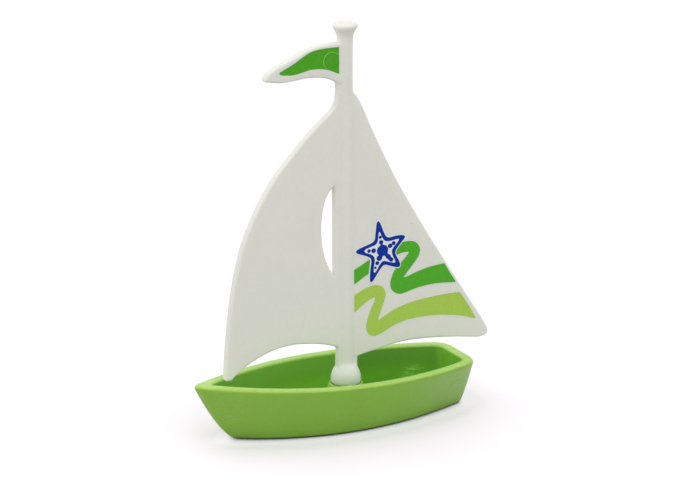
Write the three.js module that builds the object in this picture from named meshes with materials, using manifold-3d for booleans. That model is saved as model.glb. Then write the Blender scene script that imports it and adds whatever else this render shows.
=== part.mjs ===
// A small moulded toy sailing boat: an open green hull and a white rig that plugs into it.
//
// Frame: millimetres, +Z up. The origin is on the hull's flat bottom, straight below the
// mast's axis. The bow points to -X and the transom to +X. The prints are on the -Y side.
//
// The rig is one rigid group. Its mast, jib, mainsail and pennant are separate solids: the
// sheets butt against the mast with a hairline gap.

import * as THREE from "three";
import { mergeVertices } from "three/addons/utils/BufferGeometryUtils.js";
import Module from "manifold-3d";

// ---------------------------------------------------------------- dimensions (mm)

const BOW_X = -35.45; // tip of the bow at the rim
const BOW_BOTTOM_X = -26.1; // where the stem meets the flat bottom
const TRANSOM_X = 27.95; // transom at the rim
const TRANSOM_BOTTOM_X = 26.25; // and at the bottom

// Rim height along x: RIM_Z + RIM_SLOPE x + RIM_CURVE x^2, and a further rise over the bow.
const RIM_Z = 11.02;
const RIM_SLOPE = -0.0378;
const RIM_CURVE = 0.000462;
const BOW_RISE = 0.0003; // times the square of the distance forward of BOW_RISE_X
const BOW_RISE_X = -8;

const WALL = 2.0; // thickness of the hull's wall at the rim
const WALL_LOW = 1.65; // and just above the floor
const FLOOR_Z = 2.4; // top of the cockpit floor
const RIM_ROUND = 0.45; // rounding of the rim's outer edge
const RIM_CHAMFER = 0.3; // chamfer of its inner edge
const CHINE_ROUND = 0.35; // rounding of the edge round the flat bottom
const FLOOR_FILLET = 1.0; // between the inner wall and the floor

// The sides go outwards as a power of the height. A lower power bulges more.
const BULGE_POWER = 0.7; // at the bow
const BULGE_POWER_GAIN = 0.1; // added by the time the transom is reached

// Forward end of the hollow. A "step" is one point of the ring, counted from the bow.
const HOLLOW_BOW = {
  wallRatio: 1.95, // distance from the stem to the hollow's tip, in wall thicknesses
  steps: 6, // points nearer the bow than this may be moved aft
  nearTip: 0.35, // a point is moved if it is within this distance times its step
  spread: 0.12, // it then lies at least this times its step squared behind the tip
  minHalfWidth: 0.02, // least half-width, times the step
  roundness: 1.35, // greatest half-width, times the root of the distance from the tip
  flare: 0.2, // plus this times the distance itself
};

const SOCKET_TOP_Z = 8.05; // top of the socket that holds the mast
const SOCKET_TOP_R = 3.7; // its outer radius at the top
const SOCKET_FOOT_R = 4.5; // and at the floor
const SOCKET_ROOT_Z = FLOOR_Z - 0.6; // its lower end, sunk in the floor
const SOCKET_CUP_R = 3.36; // shallow cup that the bulb sits in
const SOCKET_CUP_Z = 7.6; // floor of the cup
const SOCKET_CUT_Z = 12; // top of the cutter, clear above the socket
const BORE_R = 1.98; // bore for the plug
const BORE_FLOOR_Z = 2.6; // blind end of the bore

const NECK_FORE = -2.14; // fore edge of the flat neck between the bulb and the sails' feet
const NECK_AFT = 2.28; // and aft edge
const NECK_LOW = 11.8; // it runs down into the bulb
const JIB_LOW = 16.3; // the jib's foot where it meets the neck
const JIB_TOP = 73.2;
const MAIN_LOW = 13.6; // the mainsail's foot where it meets the neck
const MAIN_TOP = 71.2;
const PENNANT_LOW = 73.24;
const PENNANT_TOP = 81.45;
const SLOT_LOW = 31.0; // ends of the straight side of the jib's slot
const SLOT_TOP = 51.7;
const SLOT_FRONT_X = -2.46; // and its place, along the mast
const PLUG_R = 1.9; // plug below the bulb
const PLUG_END_Z = 2.95;
const SHEET = 1.9; // thickness of the sails and neck
const PENNANT_SHEET = 2.1; // thickness of the pennant
const PANEL_DEPTH = 0.14; // depth of the pennant's sunk panel
const BUTT_GAP = 0.04; // gap between the mast and the sheets beside it

const INK = 0.06; // thickness of a print film
const INK_GAP = 0.02; // between a film and the face or film it lies on
const HALO = 0.24; // width of the white film that shows round the star
const HALO_CLEARANCE = 0.03; // between the halo and the waves
const CUT_REACH = 3; // print cutters reach this far either side of y = 0

// Subdivision
const ROUND = 48; // facets round a turned part
const DISC_FACETS = 24; // facets round a printed disc
const SPAN_STEPS = 2; // segments of a smooth curve between two given points
const SIDE = 30; // spans of a hull ring from the bow to the transom corner
const ACROSS = 4; // spans of a hull ring across the transom

// ---------------------------------------------------------------- outlines

// Half-width of the rim's outer edge, bow to transom corner: [x, half-width].
const RIM_PLAN = [
  [BOW_X, 0], [-35.12, 0.72], [-34.4, 1.42], [-33.2, 2.16], [-31.5, 3.12], [-30.0, 3.96],
  [-28.0, 4.98], [-26.0, 5.92], [-23.0, 7.24], [-20.0, 8.43], [-17.0, 9.47], [-14.0, 10.4],
  [-11.0, 11.16], [-8.0, 11.7], [-5.0, 12.07], [-2.0, 12.28], [1.0, 12.36], [4.0, 12.33],
  [7.0, 12.15], [10.0, 11.81], [13.0, 11.34], [16.0, 10.73], [19.0, 9.98], [22.0, 9.1],
  [25.0, 8.0], [26.6, 7.2], [TRANSOM_X, 5.8],
];
// Half-width of the flat bottom, bow to transom corner: [x, half-width].
const BOTTOM_PLAN = [
  [BOW_BOTTOM_X, 0], [-25.75, 0.42], [-25.0, 0.98], [-23.8, 1.82], [-21.7, 3.08],
  [-19.45, 4.22], [-17.2, 5.2], [-14.8, 6.07], [-12.4, 6.83], [-9.95, 7.5], [-7.5, 8.02],
  [-4.8, 8.42], [-2.1, 8.66], [0.7, 8.75], [3.55, 8.7], [6.5, 8.5], [9.65, 8.08],
  [12.9, 7.47], [16.25, 6.64], [19.85, 5.56], [23.55, 4.28], [25.3, 3.68],
  [TRANSOM_BOTTOM_X, 2.9],
];

// Outlines in the rig's plane: [x, z].
const JIB_LUFF = [
  [-1.9, JIB_TOP], [-1.92, 71.2], [-2.05, 69.9], [-2.62, 68.65], [-3.6, 67.45],
  [-5.65, 65.6], [-9.72, 61.95], [-13.4, 58.2], [-16.8, 54.45], [-19.35, 50.6],
  [-21.55, 46.65], [-23.42, 42.65], [-24.72, 38.6], [-25.69, 34.5], [-26.54, 30.3],
  [-27.07, 26.1], [-27.59, 21.8], [-27.87, 18.6], [-28.12, 15.0], [-28.14, 14.0],
];
const JIB_FOOT = [
  [-27.72, 13.35], [-27.05, 13.33], [-25.12, 14.69], [-22.81, 16.11], [-20.5, 17.12],
  [-18.19, 17.89], [-15.88, 18.4], [-13.56, 18.63], [-11.23, 18.62], [-8.9, 18.34],
  [-6.56, 17.75], [-5.3, 17.45], [-4.15, 17.1], [-3.3, 16.72], [-2.75, 16.42],
  [NECK_FORE, JIB_LOW],
];
// The slot's curved side, forward of its straight one.
const SLOT_CURVE = [
  [-2.5, 31.0], [-3.6, 32.2], [-4.85, 34.4], [-5.85, 37.6], [-6.33, 42.0], [-6.05, 46.0],
  [-5.25, 49.1], [-4.1, 50.9], [-2.9, 51.9],
];
const MAIN_LEECH = [
  [1.3, MAIN_TOP], [2.0, 70.4], [2.9, 69.0], [5.4, 63.4], [8.08, 57.75], [11.1, 51.75],
  [14.34, 46.05], [17.95, 40.0], [21.67, 34.05], [25.6, 27.9], [29.61, 21.7],
  [32.88, 16.67], [33.85, 14.95],
];
const MAIN_FOOT = [
  [34.03, 14.1], [33.6, 13.35], [32.7, 13.08], [31.6, 13.1], [29.58, 13.45], [27.1, 13.91],
  [22.19, 14.6], [17.31, 15.03], [14.0, 15.15], [11.0, 14.97], [8.85, 14.66], [6.5, 14.28],
  [4.15, 13.97], [2.9, 13.77], [NECK_AFT, MAIN_LOW],
];
const PENNANT_UPPER = [
  [-1.5, PENNANT_TOP], [-4.1, 81.5], [-6.6, 81.32], [-8.9, 80.78], [-10.9, 80.02],
  [-12.6, 79.28], [-14.4, 78.55], [-16.5, 77.72], [-17.75, 77.0], [-18.3, 76.2],
];
const PENNANT_LOWER = [
  [-18.35, 75.5], [-17.9, 75.13], [-17.1, 74.92], [-14.63, 74.58], [-11.91, 74.7],
  [-10.33, 74.86], [-8.51, 74.9], [-6.69, 74.74], [-4.87, 74.32], [-3.4, 73.75],
  [-2.4, 73.32],
];
const PANEL = [
  [-1.87, 80.66], [-5.1, 80.68], [-8.0, 80.32], [-9.84, 79.6], [-11.88, 78.55],
  [-13.7, 77.6], [-15.4, 76.85], [-15.2, 76.38], [-13.5, 76.08], [-11.7, 76.04],
  [-10.0, 76.32], [-8.2, 76.6], [-6.1, 76.48], [-4.5, 76.17], [-3.2, 75.62], [-1.87, 75.03],
];

// Profiles turned about Z, from the top down: [radius, z].
const MAST_PROFILE = [
  [0, 85.32], [2.1, 85.32], [2.45, 85.24], [2.67, 85.06], [2.74, 84.86], [2.67, 84.6],
  [2.45, 84.22], [2.15, 83.8], [1.92, 83.4], [1.76, 82.9], [1.66, 82.2], [1.55, 79.5],
  [1.51, 75.0], [1.53, 68.0], [1.57, 55.0], [1.61, 40.0], [1.64, 26.0], [1.66, 13.0],
  // bulb
  [1.78, 12.55], [2.05, 12.3], [2.27, 12.08], [2.5, 11.5], [2.76, 11.05], [2.98, 10.6],
  [3.15, 9.95], [3.23, 9.3], [3.26, 8.8], [3.24, 8.4], [3.13, 8.1], [2.88, 7.9], [2.4, 7.8],
  // plug
  [PLUG_R, 7.78], [PLUG_R, 3.3], [PLUG_R - 0.35, PLUG_END_Z], [0, PLUG_END_Z],
];
const BOSS_PROFILE = [
  [0, SOCKET_TOP_Z],
  [SOCKET_TOP_R - 0.12, SOCKET_TOP_Z],
  [SOCKET_TOP_R, SOCKET_TOP_Z - 0.12],
  [SOCKET_TOP_R + 0.28, SOCKET_TOP_Z - 1.1],
  [SOCKET_TOP_R + 0.42, SOCKET_TOP_Z - 2.4],
  [SOCKET_FOOT_R - 0.3, FLOOR_Z + 0.9],
  [SOCKET_FOOT_R, FLOOR_Z + 0.25],
  [SOCKET_FOOT_R + 0.1, SOCKET_ROOT_Z],
  [0, SOCKET_ROOT_Z],
];
const SOCKET_PROFILE = [
  [0, SOCKET_CUT_Z],
  [SOCKET_CUP_R, SOCKET_CUT_Z],
  [SOCKET_CUP_R, SOCKET_CUP_Z + 0.3],
  [SOCKET_CUP_R - 0.3, SOCKET_CUP_Z],
  [BORE_R, SOCKET_CUP_Z],
  [BORE_R, BORE_FLOOR_Z],
  [0, BORE_FLOOR_Z],
];

// Print outlines on the mainsail: [x, z].
const DARK_WAVE = [
  [1.43, 32.66], [3.27, 33.52], [4.92, 34.34], [7.6, 35.6], [10.1, 36.5], [12.6, 37.05],
  [14.35, 37.12], [15.55, 36.9], [16.3, 36.5], [16.85, 35.85], [17.18, 34.75], [16.87, 33.6],
  [15.5, 31.85], [14.2, 30.45], [13.28, 29.3], [14.4, 29.48], [16.7, 30.15], [18.7, 30.55],
  [20.8, 30.8], [23.05, 30.95], [24.35, 28.85], [25.92, 26.36], [22.2, 26.72], [19.8, 26.8],
  [16.4, 26.5], [14.2, 26.03], [12.5, 25.8], [11.5, 26.1], [10.9, 26.5], [10.45, 27.0],
  [10.2, 27.6], [10.1, 28.6], [10.3, 29.5], [10.8, 30.7], [11.55, 31.7], [12.5, 32.55],
  [13.92, 33.85], [14.45, 34.62], [13.3, 34.84], [12.3, 34.7], [11.2, 34.35], [9.0, 33.55],
  [5.1, 31.5], [1.43, 29.5],
];
const LIGHT_WAVE = [
  [1.52, 27.08], [3.4, 28.0], [5.15, 28.53], [6.2, 28.65], [6.85, 28.6], [7.4, 28.45],
  [8.1, 28.05], [8.5, 27.6], [8.83, 26.97], [8.93, 26.5], [8.9, 25.75], [8.1, 23.5],
  [7.13, 20.85], [8.7, 21.55], [10.4, 22.3], [12.0, 22.9], [14.9, 23.48], [16.4, 23.72],
  [20.3, 24.0], [24.2, 24.05], [26.85, 23.92], [29.0, 20.8], [30.9, 17.47], [26.9, 18.72],
  [24.26, 19.26], [21.46, 19.69], [18.4, 19.93], [14.5, 19.83], [12.5, 19.52], [10.6, 18.97],
  [8.1, 17.85], [6.6, 17.48], [5.86, 17.55], [5.15, 17.9], [4.72, 18.35], [4.45, 19.0],
  [4.38, 19.8], [4.6, 21.1], [5.4, 23.2], [6.3, 25.1], [6.5, 25.95], [6.04, 25.97],
  [5.2, 25.68], [3.3, 24.57], [1.52, 23.3],
];
const STAR_OUTER = [
  [7.25, 42.49], [7.54, 42.17], [8.57, 39.76], [9.13, 38.82], [9.66, 38.63], [11.42, 38.73],
  [12.95, 38.66], [13.4, 38.45], [13.51, 38.15], [12.78, 37.28], [11.55, 35.89],
  [11.23, 35.25], [11.45, 34.4], [12.41, 32.35], [12.35, 32.02], [12.03, 31.82],
  [9.85, 32.43], [8.73, 32.8], [8.1, 32.5], [7.13, 31.33], [5.85, 29.62], [5.55, 29.49],
  [5.27, 29.72], [5.24, 31.6], [5.53, 33.82], [5.46, 34.57], [4.8, 35.08], [2.24, 36.19],
  [1.95, 36.55], [2.28, 36.95], [5.68, 38.01], [6.3, 38.42], [6.76, 41.83], [6.96, 42.38],
];
const STAR_INNER = [
  [7.46, 40.1], [8.0, 39.1], [8.55, 38.27], [9.0, 37.95], [9.9, 37.83], [11.72, 37.98],
  [12.06, 37.8], [11.64, 37.12], [10.85, 36.35], [10.47, 35.6], [10.6, 34.7], [11.2, 33.2],
  [11.05, 32.93], [10.0, 33.15], [8.96, 33.55], [8.2, 33.58], [7.7, 33.15], [6.6, 31.65],
  [6.25, 31.42], [6.12, 32.1], [6.33, 34.2], [6.1, 34.95], [5.4, 35.55], [4.1, 36.15],
  [3.95, 36.6], [4.6, 36.92], [6.5, 37.5], [6.98, 38.05], [7.2, 39.5],
];
// Discs of ink in the star's middle that run together: [x, z, radius].
const STAR_MIDDLE = [
  [8.2, 36.0, 1.28], [7.92, 37.35, 0.25], [7.82, 37.84, 0.47], [7.44, 34.43, 0.62],
  [8.95, 35.2, 0.45], [9.53, 34.49, 0.56], [9.97, 34.03, 0.45], [10.4, 33.58, 0.46],
];

// ---------------------------------------------------------------- helpers

const wasm = await Module();
wasm.setup();

const vectors = (points) => points.map(([a, b]) => new THREE.Vector2(a, b));

function solid(geometry) {
  // Normals and UVs differ along seams and would keep the vertices there apart.
  geometry.deleteAttribute("normal");
  geometry.deleteAttribute("uv");
  const merged = mergeVertices(geometry, 1e-4);
  return new wasm.Manifold(
    new wasm.Mesh({
      numProp: 3,
      vertProperties: new Float32Array(merged.attributes.position.array),
      triVerts: new Uint32Array(merged.index.array),
    }),
  );
}

function geometryOf(manifold) {
  const mesh = manifold.getMesh();
  const geometry = new THREE.BufferGeometry();
  const positions = new Float32Array(mesh.vertProperties);
  geometry.setAttribute("position", new THREE.BufferAttribute(positions, 3));
  geometry.setIndex(new THREE.BufferAttribute(new Uint32Array(mesh.triVerts), 1));
  geometry.computeVertexNormals();
  return geometry;
}

// Turns a [radius, z] profile about Z. It runs from the top axis point to the bottom one.
function turned(profile) {
  const geometry = new THREE.LatheGeometry(vectors([...profile].reverse()), ROUND);
  geometry.rotateX(Math.PI / 2); // the lathe turns about Y
  return solid(geometry);
}

// A smooth run of points through the given ones.
function smooth(points) {
  const curve = new THREE.SplineCurve(vectors(points));
  return curve.getPoints((points.length - 1) * SPAN_STEPS).map(({ x, y }) => [x, y]);
}

// A plate with its outline in the X-Z plane, between two values of y.
function plate(outline, lowY, highY, holes = []) {
  const shape = new THREE.Shape(vectors(outline));
  for (const hole of holes) shape.holes.push(new THREE.Path(vectors(hole)));
  const geometry = new THREE.ExtrudeGeometry(shape, {
    depth: highY - lowY,
    bevelEnabled: false,
    curveSegments: 1,
    steps: 1,
  });
  geometry.rotateX(Math.PI / 2); // the shape's Y becomes Z, and its depth runs towards -Y
  geometry.translate(0, highY, 0);
  return solid(geometry);
}

// A plate centred on y = 0.
const sheet = (outline, thickness, holes) =>
  plate(outline, -thickness / 2, thickness / 2, holes);

// Moves a clockwise ring's points inwards along its normals. A negative distance grows it.
function inset(ring, distance) {
  const count = ring.length;
  return ring.map(([x, y], i) => {
    const before = ring[(i + count - 1) % count];
    const after = ring[(i + 1) % count];
    const dx = after[0] - before[0];
    const dy = after[1] - before[1];
    const length = Math.hypot(dx, dy);
    return [x + (dy / length) * distance, y - (dx / length) * distance];
  });
}

// A solid's separate pieces, the largest first.
const pieces = (manifold) => manifold.decompose().sort((a, b) => b.volume() - a.volume());
const biggest = (manifold) => pieces(manifold)[0];

// ---------------------------------------------------------------- hull

function rimZ(x) {
  const fore = Math.max(BOW_RISE_X - x, 0);
  return RIM_Z + RIM_SLOPE * x + RIM_CURVE * x * x + BOW_RISE * fore * fore;
}

// A closed ring, clockwise seen from above: bow, +Y side, transom, -Y side.
function planRing(plan) {
  const half = new THREE.SplineCurve(vectors(plan)).getSpacedPoints(SIDE);
  const ring = half.map(({ x, y }) => [x, y]);
  const [cornerX, cornerY] = plan.at(-1);
  for (let i = 1; i < ACROSS; i++) ring.push([cornerX, cornerY * (1 - (2 * i) / ACROSS)]);
  for (let i = SIDE; i > 0; i--) ring.push([half[i].x, -half[i].y]);
  return ring;
}
const RIM_RING = planRing(RIM_PLAN);
const BOTTOM_RING = planRing(BOTTOM_PLAN);

// The outer surface's ring between the bottom (rise = 0) and the rim (rise = 1).
function outerRing(rise) {
  return RIM_RING.map(([rimX, rimY], i) => {
    const [bottomX, bottomY] = BOTTOM_RING[i];
    const along = (rimX - BOW_X) / (TRANSOM_X - BOW_X);
    const out = Math.pow(rise, BULGE_POWER + BULGE_POWER_GAIN * along);
    return [bottomX + (rimX - bottomX) * out, bottomY + (rimY - bottomY) * out];
  });
}

// The inner wall's ring: an inset that follows the outer wall but keeps clear of the narrow
// bow, where the hollow ends in a rounded point.
function hollowRing(rise, wall) {
  const outer = outerRing(rise);
  const bow = HOLLOW_BOW;
  const tipX = outer[0][0] + wall * bow.wallRatio;
  const count = outer.length;
  return inset(outer, wall).map(([insetX, insetY], i) => {
    if (i === 0) return [tipX, 0];
    const side = i < count / 2 ? 1 : -1;
    const step = Math.min(i, count - i);
    let x = insetX;
    if (step < bow.steps && x < tipX + bow.nearTip * step)
      x = Math.max(x, tipX + bow.spread * step * step);
    // keeps each point on its own side and rounds the forward end
    const reach = Math.max(0, x - tipX);
    const limit = bow.roundness * Math.sqrt(reach) + bow.flare * reach;
    const halfWidth = Math.min(Math.max(insetY * side, bow.minHalfWidth * step), limit);
    return [x, halfWidth * side];
  });
}

// Skins a stack of [x, y, z] rings. The first is capped facing down, the last facing up.
function loft(rings) {
  const count = rings[0].length;
  const index = [];
  for (let k = 0; k + 1 < rings.length; k++)
    for (let i = 0; i < count; i++) {
      const j = (i + 1) % count;
      const here = k * count;
      const next = here + count;
      index.push(here + i, next + j, here + j, here + i, next + i, next + j);
    }
  const cap = (k, facesUp) => {
    const points = vectors(rings[k]);
    for (const [a, b, c] of THREE.ShapeUtils.triangulateShape(points, [])) {
      const edge = points[b].clone().sub(points[a]);
      const anticlockwise = edge.cross(points[c].clone().sub(points[a])) > 0;
      const face = anticlockwise === facesUp ? [a, b, c] : [a, c, b];
      index.push(...face.map((corner) => k * count + corner));
    }
  };
  cap(0, false);
  cap(rings.length - 1, true);
  const geometry = new THREE.BufferGeometry();
  const positions = new Float32Array(rings.flat(2));
  geometry.setAttribute("position", new THREE.BufferAttribute(positions, 3));
  geometry.setIndex(index);
  return solid(geometry);
}

function makeShell() {
  const rings = [];
  // Adds a ring at the height that heightAt(x) gives.
  const add = (ring, heightAt) => rings.push(ring.map(([x, y]) => [x, y, heightAt(x)]));

  // flat bottom's edge, rounded into the side
  add(inset(outerRing(0), CHINE_ROUND), () => 0);
  add(inset(outerRing(0.006), CHINE_ROUND * 0.3), () => CHINE_ROUND * 0.28);
  for (const rise of [0.05, 0.12, 0.22, 0.36, 0.52, 0.7, 0.86])
    add(outerRing(rise), (x) => rise * rimZ(x));
  // rounded outer edge of the rim
  add(outerRing(0.96), (x) => rimZ(x) - RIM_ROUND);
  add(inset(outerRing(0.99), RIM_ROUND * 0.25), (x) => rimZ(x) - RIM_ROUND * 0.35);
  add(inset(outerRing(1), RIM_ROUND * 0.9), rimZ);
  // chamfered inner edge
  const wallTop = (x) => rimZ(x) - RIM_CHAMFER;
  add(hollowRing(1, WALL - RIM_CHAMFER), rimZ);
  add(hollowRing(1, WALL), wallTop);
  // inner wall down to the fillet, then the floor's edge
  const wallFoot = FLOOR_Z + FLOOR_FILLET;
  add(hollowRing(0.62, (WALL + WALL_LOW) / 2), (x) => (wallTop(x) + wallFoot) / 2);
  add(hollowRing(0.3, WALL_LOW), () => wallFoot);
  add(hollowRing(0.26, WALL_LOW + 0.32), () => FLOOR_Z + FLOOR_FILLET * 0.3);
  add(hollowRing(0.24, WALL_LOW + 1.0), () => FLOOR_Z);
  return loft(rings);
}

const makeHull = () => makeShell().add(turned(BOSS_PROFILE)).subtract(turned(SOCKET_PROFILE));

// ---------------------------------------------------------------- rig

// The mast with a little clearance all round, to cut the sheets back from it.
const mastCutter = turned(MAST_PROFILE.map(([r, z]) => [r > 0 ? r + BUTT_GAP : 0, z]));

function makeMast() {
  const foreTop = JIB_LOW - BUTT_GAP;
  const aftTop = MAIN_LOW - BUTT_GAP;
  const neckOutline = [
    [NECK_FORE, NECK_LOW], [NECK_FORE, foreTop], [0, foreTop],
    [0, aftTop], [NECK_AFT, aftTop], [NECK_AFT, NECK_LOW],
  ];
  return turned(MAST_PROFILE).add(sheet(neckOutline, SHEET));
}

function makeJib() {
  const outline = [[0, JIB_TOP], ...smooth(JIB_LUFF), ...smooth(JIB_FOOT), [0, JIB_LOW]];
  const slot = [...smooth(SLOT_CURVE), [SLOT_FRONT_X, SLOT_TOP], [SLOT_FRONT_X, SLOT_LOW]];
  return biggest(sheet(outline, SHEET, [slot]).subtract(mastCutter));
}

function makeMainsail() {
  const outline = [[0, MAIN_TOP], ...smooth(MAIN_LEECH), ...smooth(MAIN_FOOT), [0, MAIN_LOW]];
  return biggest(sheet(outline, SHEET).subtract(mastCutter));
}

const PANEL_FACE = PENNANT_SHEET / 2 - PANEL_DEPTH; // distance of the panel from y = 0

function makePennant() {
  const outline = [
    [0, PENNANT_TOP], ...smooth(PENNANT_UPPER), ...smooth(PENNANT_LOWER),
    [-2.0, PENNANT_LOW], [0, PENNANT_LOW],
  ];
  const panel = plate(PANEL, -(PENNANT_SHEET / 2 + 1), -PANEL_FACE);
  return biggest(sheet(outline, PENNANT_SHEET).subtract(panel).subtract(mastCutter));
}

// ---------------------------------------------------------------- prints

// A film of ink over the -Y face at y = -face. Layer 1 lies on top of layer 0.
function film(outline, face = SHEET / 2, layer = 0) {
  const inner = face + INK_GAP + layer * (INK + INK_GAP);
  return plate(outline, -(inner + INK), -inner);
}
const upperFilm = (outline) => film(outline, SHEET / 2, 1);
const printCutter = (outline) => plate(outline, -CUT_REACH, CUT_REACH);

// The panel's outline, drawn in a little at both ends and along the top and bottom.
function makePennantPrint() {
  const shiftX = (x) => (x < -10 ? 0.12 : x > -2 ? -0.04 : 0);
  const shiftZ = (z) => (z > 77.2 ? -0.05 : z < 76.9 ? 0.05 : 0);
  return film(PANEL.map(([x, z]) => [x + shiftX(x), z + shiftZ(z)]), PANEL_FACE);
}

// The dark wave stops at the star's halo, which splits it in two.
function makeDarkWaves() {
  const starCutter = printCutter(inset(STAR_OUTER, -(HALO + HALO_CLEARANCE)));
  return pieces(film(DARK_WAVE).subtract(starCutter));
}

function makeStarMiddle() {
  const discs = STAR_MIDDLE.map(([x, z, radius]) => {
    const outline = Array.from({ length: DISC_FACETS }, (_, i) => {
      const angle = (i * 2 * Math.PI) / DISC_FACETS;
      return [x + radius * Math.cos(angle), z + radius * Math.sin(angle)];
    });
    return upperFilm(outline);
  });
  return biggest(discs.reduce((sum, disc) => sum.add(disc)));
}

// ---------------------------------------------------------------- the boat

const GREEN = 0x54a22c;
const BLUE = 0x1c3da0;
const PRINT_ROUGHNESS = 0.4;

function addPart(group, name, manifold, color, roughness = PRINT_ROUGHNESS) {
  const material = new THREE.MeshStandardMaterial({ color, roughness, metalness: 0 });
  const mesh = new THREE.Mesh(geometryOf(manifold), material);
  mesh.name = name;
  group.add(mesh);
}

const boat = new THREE.Group();
addPart(boat, "hull", makeHull(), 0x86b84a, 0.5);

const rig = new THREE.Group();
addPart(rig, "mast", makeMast(), 0xd6d6ce, 0.45);
addPart(rig, "jib", makeJib(), 0xd2d2ca, 0.5);
addPart(rig, "mainsail", makeMainsail(), 0xd0d0c8, 0.5);
addPart(rig, "pennant", makePennant(), 0xdcdcd4, 0.45);
addPart(rig, "pennant_print", makePennantPrint(), 0x4c9624);
const [darkAft, darkFore] = makeDarkWaves();
addPart(rig, "wave_print_dark", darkAft, GREEN);
addPart(rig, "wave_print_dark_fore", darkFore, GREEN);
addPart(rig, "wave_print_light", film(LIGHT_WAVE), 0x9dc053);
addPart(rig, "star_print_white", film(inset(STAR_OUTER, -HALO)), 0xf0f2f4);
const starOutline = upperFilm(STAR_OUTER).subtract(printCutter(STAR_INNER));
addPart(rig, "star_print_blue", starOutline, BLUE);
addPart(rig, "star_print_middle", makeStarMiddle(), BLUE);
boat.add(rig);

export default boat;
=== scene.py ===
"""The looks of a small moulded toy sailing boat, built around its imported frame.

The bow points to -X, starboard is +Y, the mast stands on the Z axis and the hull rests on
z = 0. The prints and the pennant's sunk panel are on the -Y side.

The hull and the rig are each shaped as one smooth moulding: a signed distance field is made
from the outlines below, in millimetres, and turned into a fine mesh whose points and normals
are then put on the surface. The prints are thin films cut to smooth outlines.
"""

import math
from types import SimpleNamespace

import bpy
import numpy as np
from mathutils import Matrix, Vector
from mathutils.geometry import delaunay_2d_cdt


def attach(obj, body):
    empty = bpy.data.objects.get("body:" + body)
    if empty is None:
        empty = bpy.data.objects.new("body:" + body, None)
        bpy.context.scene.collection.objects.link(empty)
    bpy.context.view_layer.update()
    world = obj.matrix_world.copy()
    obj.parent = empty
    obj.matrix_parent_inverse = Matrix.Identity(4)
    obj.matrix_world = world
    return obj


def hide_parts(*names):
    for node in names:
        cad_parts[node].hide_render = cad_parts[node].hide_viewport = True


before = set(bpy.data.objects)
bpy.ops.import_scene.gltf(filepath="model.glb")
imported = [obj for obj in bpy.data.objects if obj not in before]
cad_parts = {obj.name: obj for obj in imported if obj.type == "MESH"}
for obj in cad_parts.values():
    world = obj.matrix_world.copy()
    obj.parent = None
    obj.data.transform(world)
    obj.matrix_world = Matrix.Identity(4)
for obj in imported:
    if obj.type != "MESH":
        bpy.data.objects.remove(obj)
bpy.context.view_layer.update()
MM = 0.001


# ============================================================ sizes and outlines, mm

BOW_X, TRANSOM_X = -35.47, 27.95  # the hull's ends at the rim
FLOOR_Z = 2.4
# The rim's height is a parabola along x, with a further rise forward of RISE_X.
RIM_Z, RIM_SLOPE, RIM_CURVE = 11.02, -0.0378, 0.000462
RISE_X, BOW_RISE = -8.0, 0.0003
SAIL_T, PENNANT_T, PANEL_DEPTH = 1.9, 2.1, 0.14

# Plan of the starboard half, bow to stern: x, y.
RIM_PLAN = [
    [BOW_X, 0], [-35.15, 0.72], [-34.4, 1.42], [-33.2, 2.14], [-31.5, 3.1], [-30.0, 3.93],
    [-28.0, 4.97], [-26.0, 5.92], [-23.0, 7.24], [-20.0, 8.43], [-17.0, 9.47], [-14.0, 10.4],
    [-11.0, 11.16], [-8.0, 11.7], [-5.0, 12.07], [-2.0, 12.28], [1.0, 12.36], [4.0, 12.33],
    [7.0, 12.15], [10.0, 11.81], [13.0, 11.34], [16.0, 10.73], [19.0, 9.98], [22.0, 9.1],
    [25.0, 8.0], [26.6, 7.2],
]
BOTTOM_PLAN = [
    [-26.1, 0], [-25.75, 0.42], [-25.0, 0.98], [-23.8, 1.82], [-21.7, 3.08], [-19.45, 4.22],
    [-17.2, 5.2], [-14.8, 6.07], [-12.4, 6.83], [-9.95, 7.5], [-7.5, 8.02], [-4.8, 8.42],
    [-2.1, 8.66], [0.7, 8.75], [3.55, 8.7], [6.5, 8.5], [9.65, 8.08], [12.9, 7.47],
    [16.25, 6.64], [19.85, 5.56], [23.55, 4.28], [25.3, 3.68],
]
RIM_CORNER, BOTTOM_CORNER = [TRANSOM_X, 5.8], [26.25, 2.9]

# Outlines in the plane of the rig: x, z. Sail edges run down, then foot edges run along.
JIB_LUFF = [
    [-1.95, 74.4], [-1.95, 71.9], [-1.97, 70.1], [-2.1, 68.75], [-2.9, 67.5], [-4.45, 66.5],
    [-5.65, 65.6], [-9.72, 61.95], [-13.4, 58.2], [-16.8, 54.45], [-19.35, 50.6],
    [-21.55, 46.65], [-23.42, 42.65], [-24.72, 38.6], [-25.69, 34.5], [-26.54, 30.3],
    [-27.07, 26.1], [-27.59, 21.8], [-27.87, 18.6], [-28.12, 15.0], [-28.16, 14.05],
]
JIB_FOOT = [
    [-27.05, 13.33], [-25.12, 14.69], [-22.81, 16.11], [-20.5, 17.12],
    [-18.19, 17.89], [-15.88, 18.4], [-13.56, 18.6], [-11.23, 18.5], [-8.9, 18.2],
    [-6.56, 17.77], [-5.3, 17.45], [-4.15, 17.1], [-3.3, 16.75], [-2.3, 16.35],
]
SLOT_BACK = [
    [-2.46, 30.9], [-3.6, 32.2], [-4.85, 34.4], [-5.85, 37.6], [-6.33, 42.0], [-6.05, 46.0],
    [-5.25, 49.1], [-4.1, 50.9], [-2.46, 52.2],
]
MAIN_LEECH = [
    [0.9, 71.6], [1.6, 70.9], [2.15, 70.2], [2.9, 69.0], [5.4, 63.4], [8.08, 57.75],
    [11.1, 51.75], [14.34, 46.05], [17.95, 40.0], [21.67, 34.05], [25.6, 27.9], [29.61, 21.7],
    [32.88, 16.67], [33.85, 14.95],
]
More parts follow.
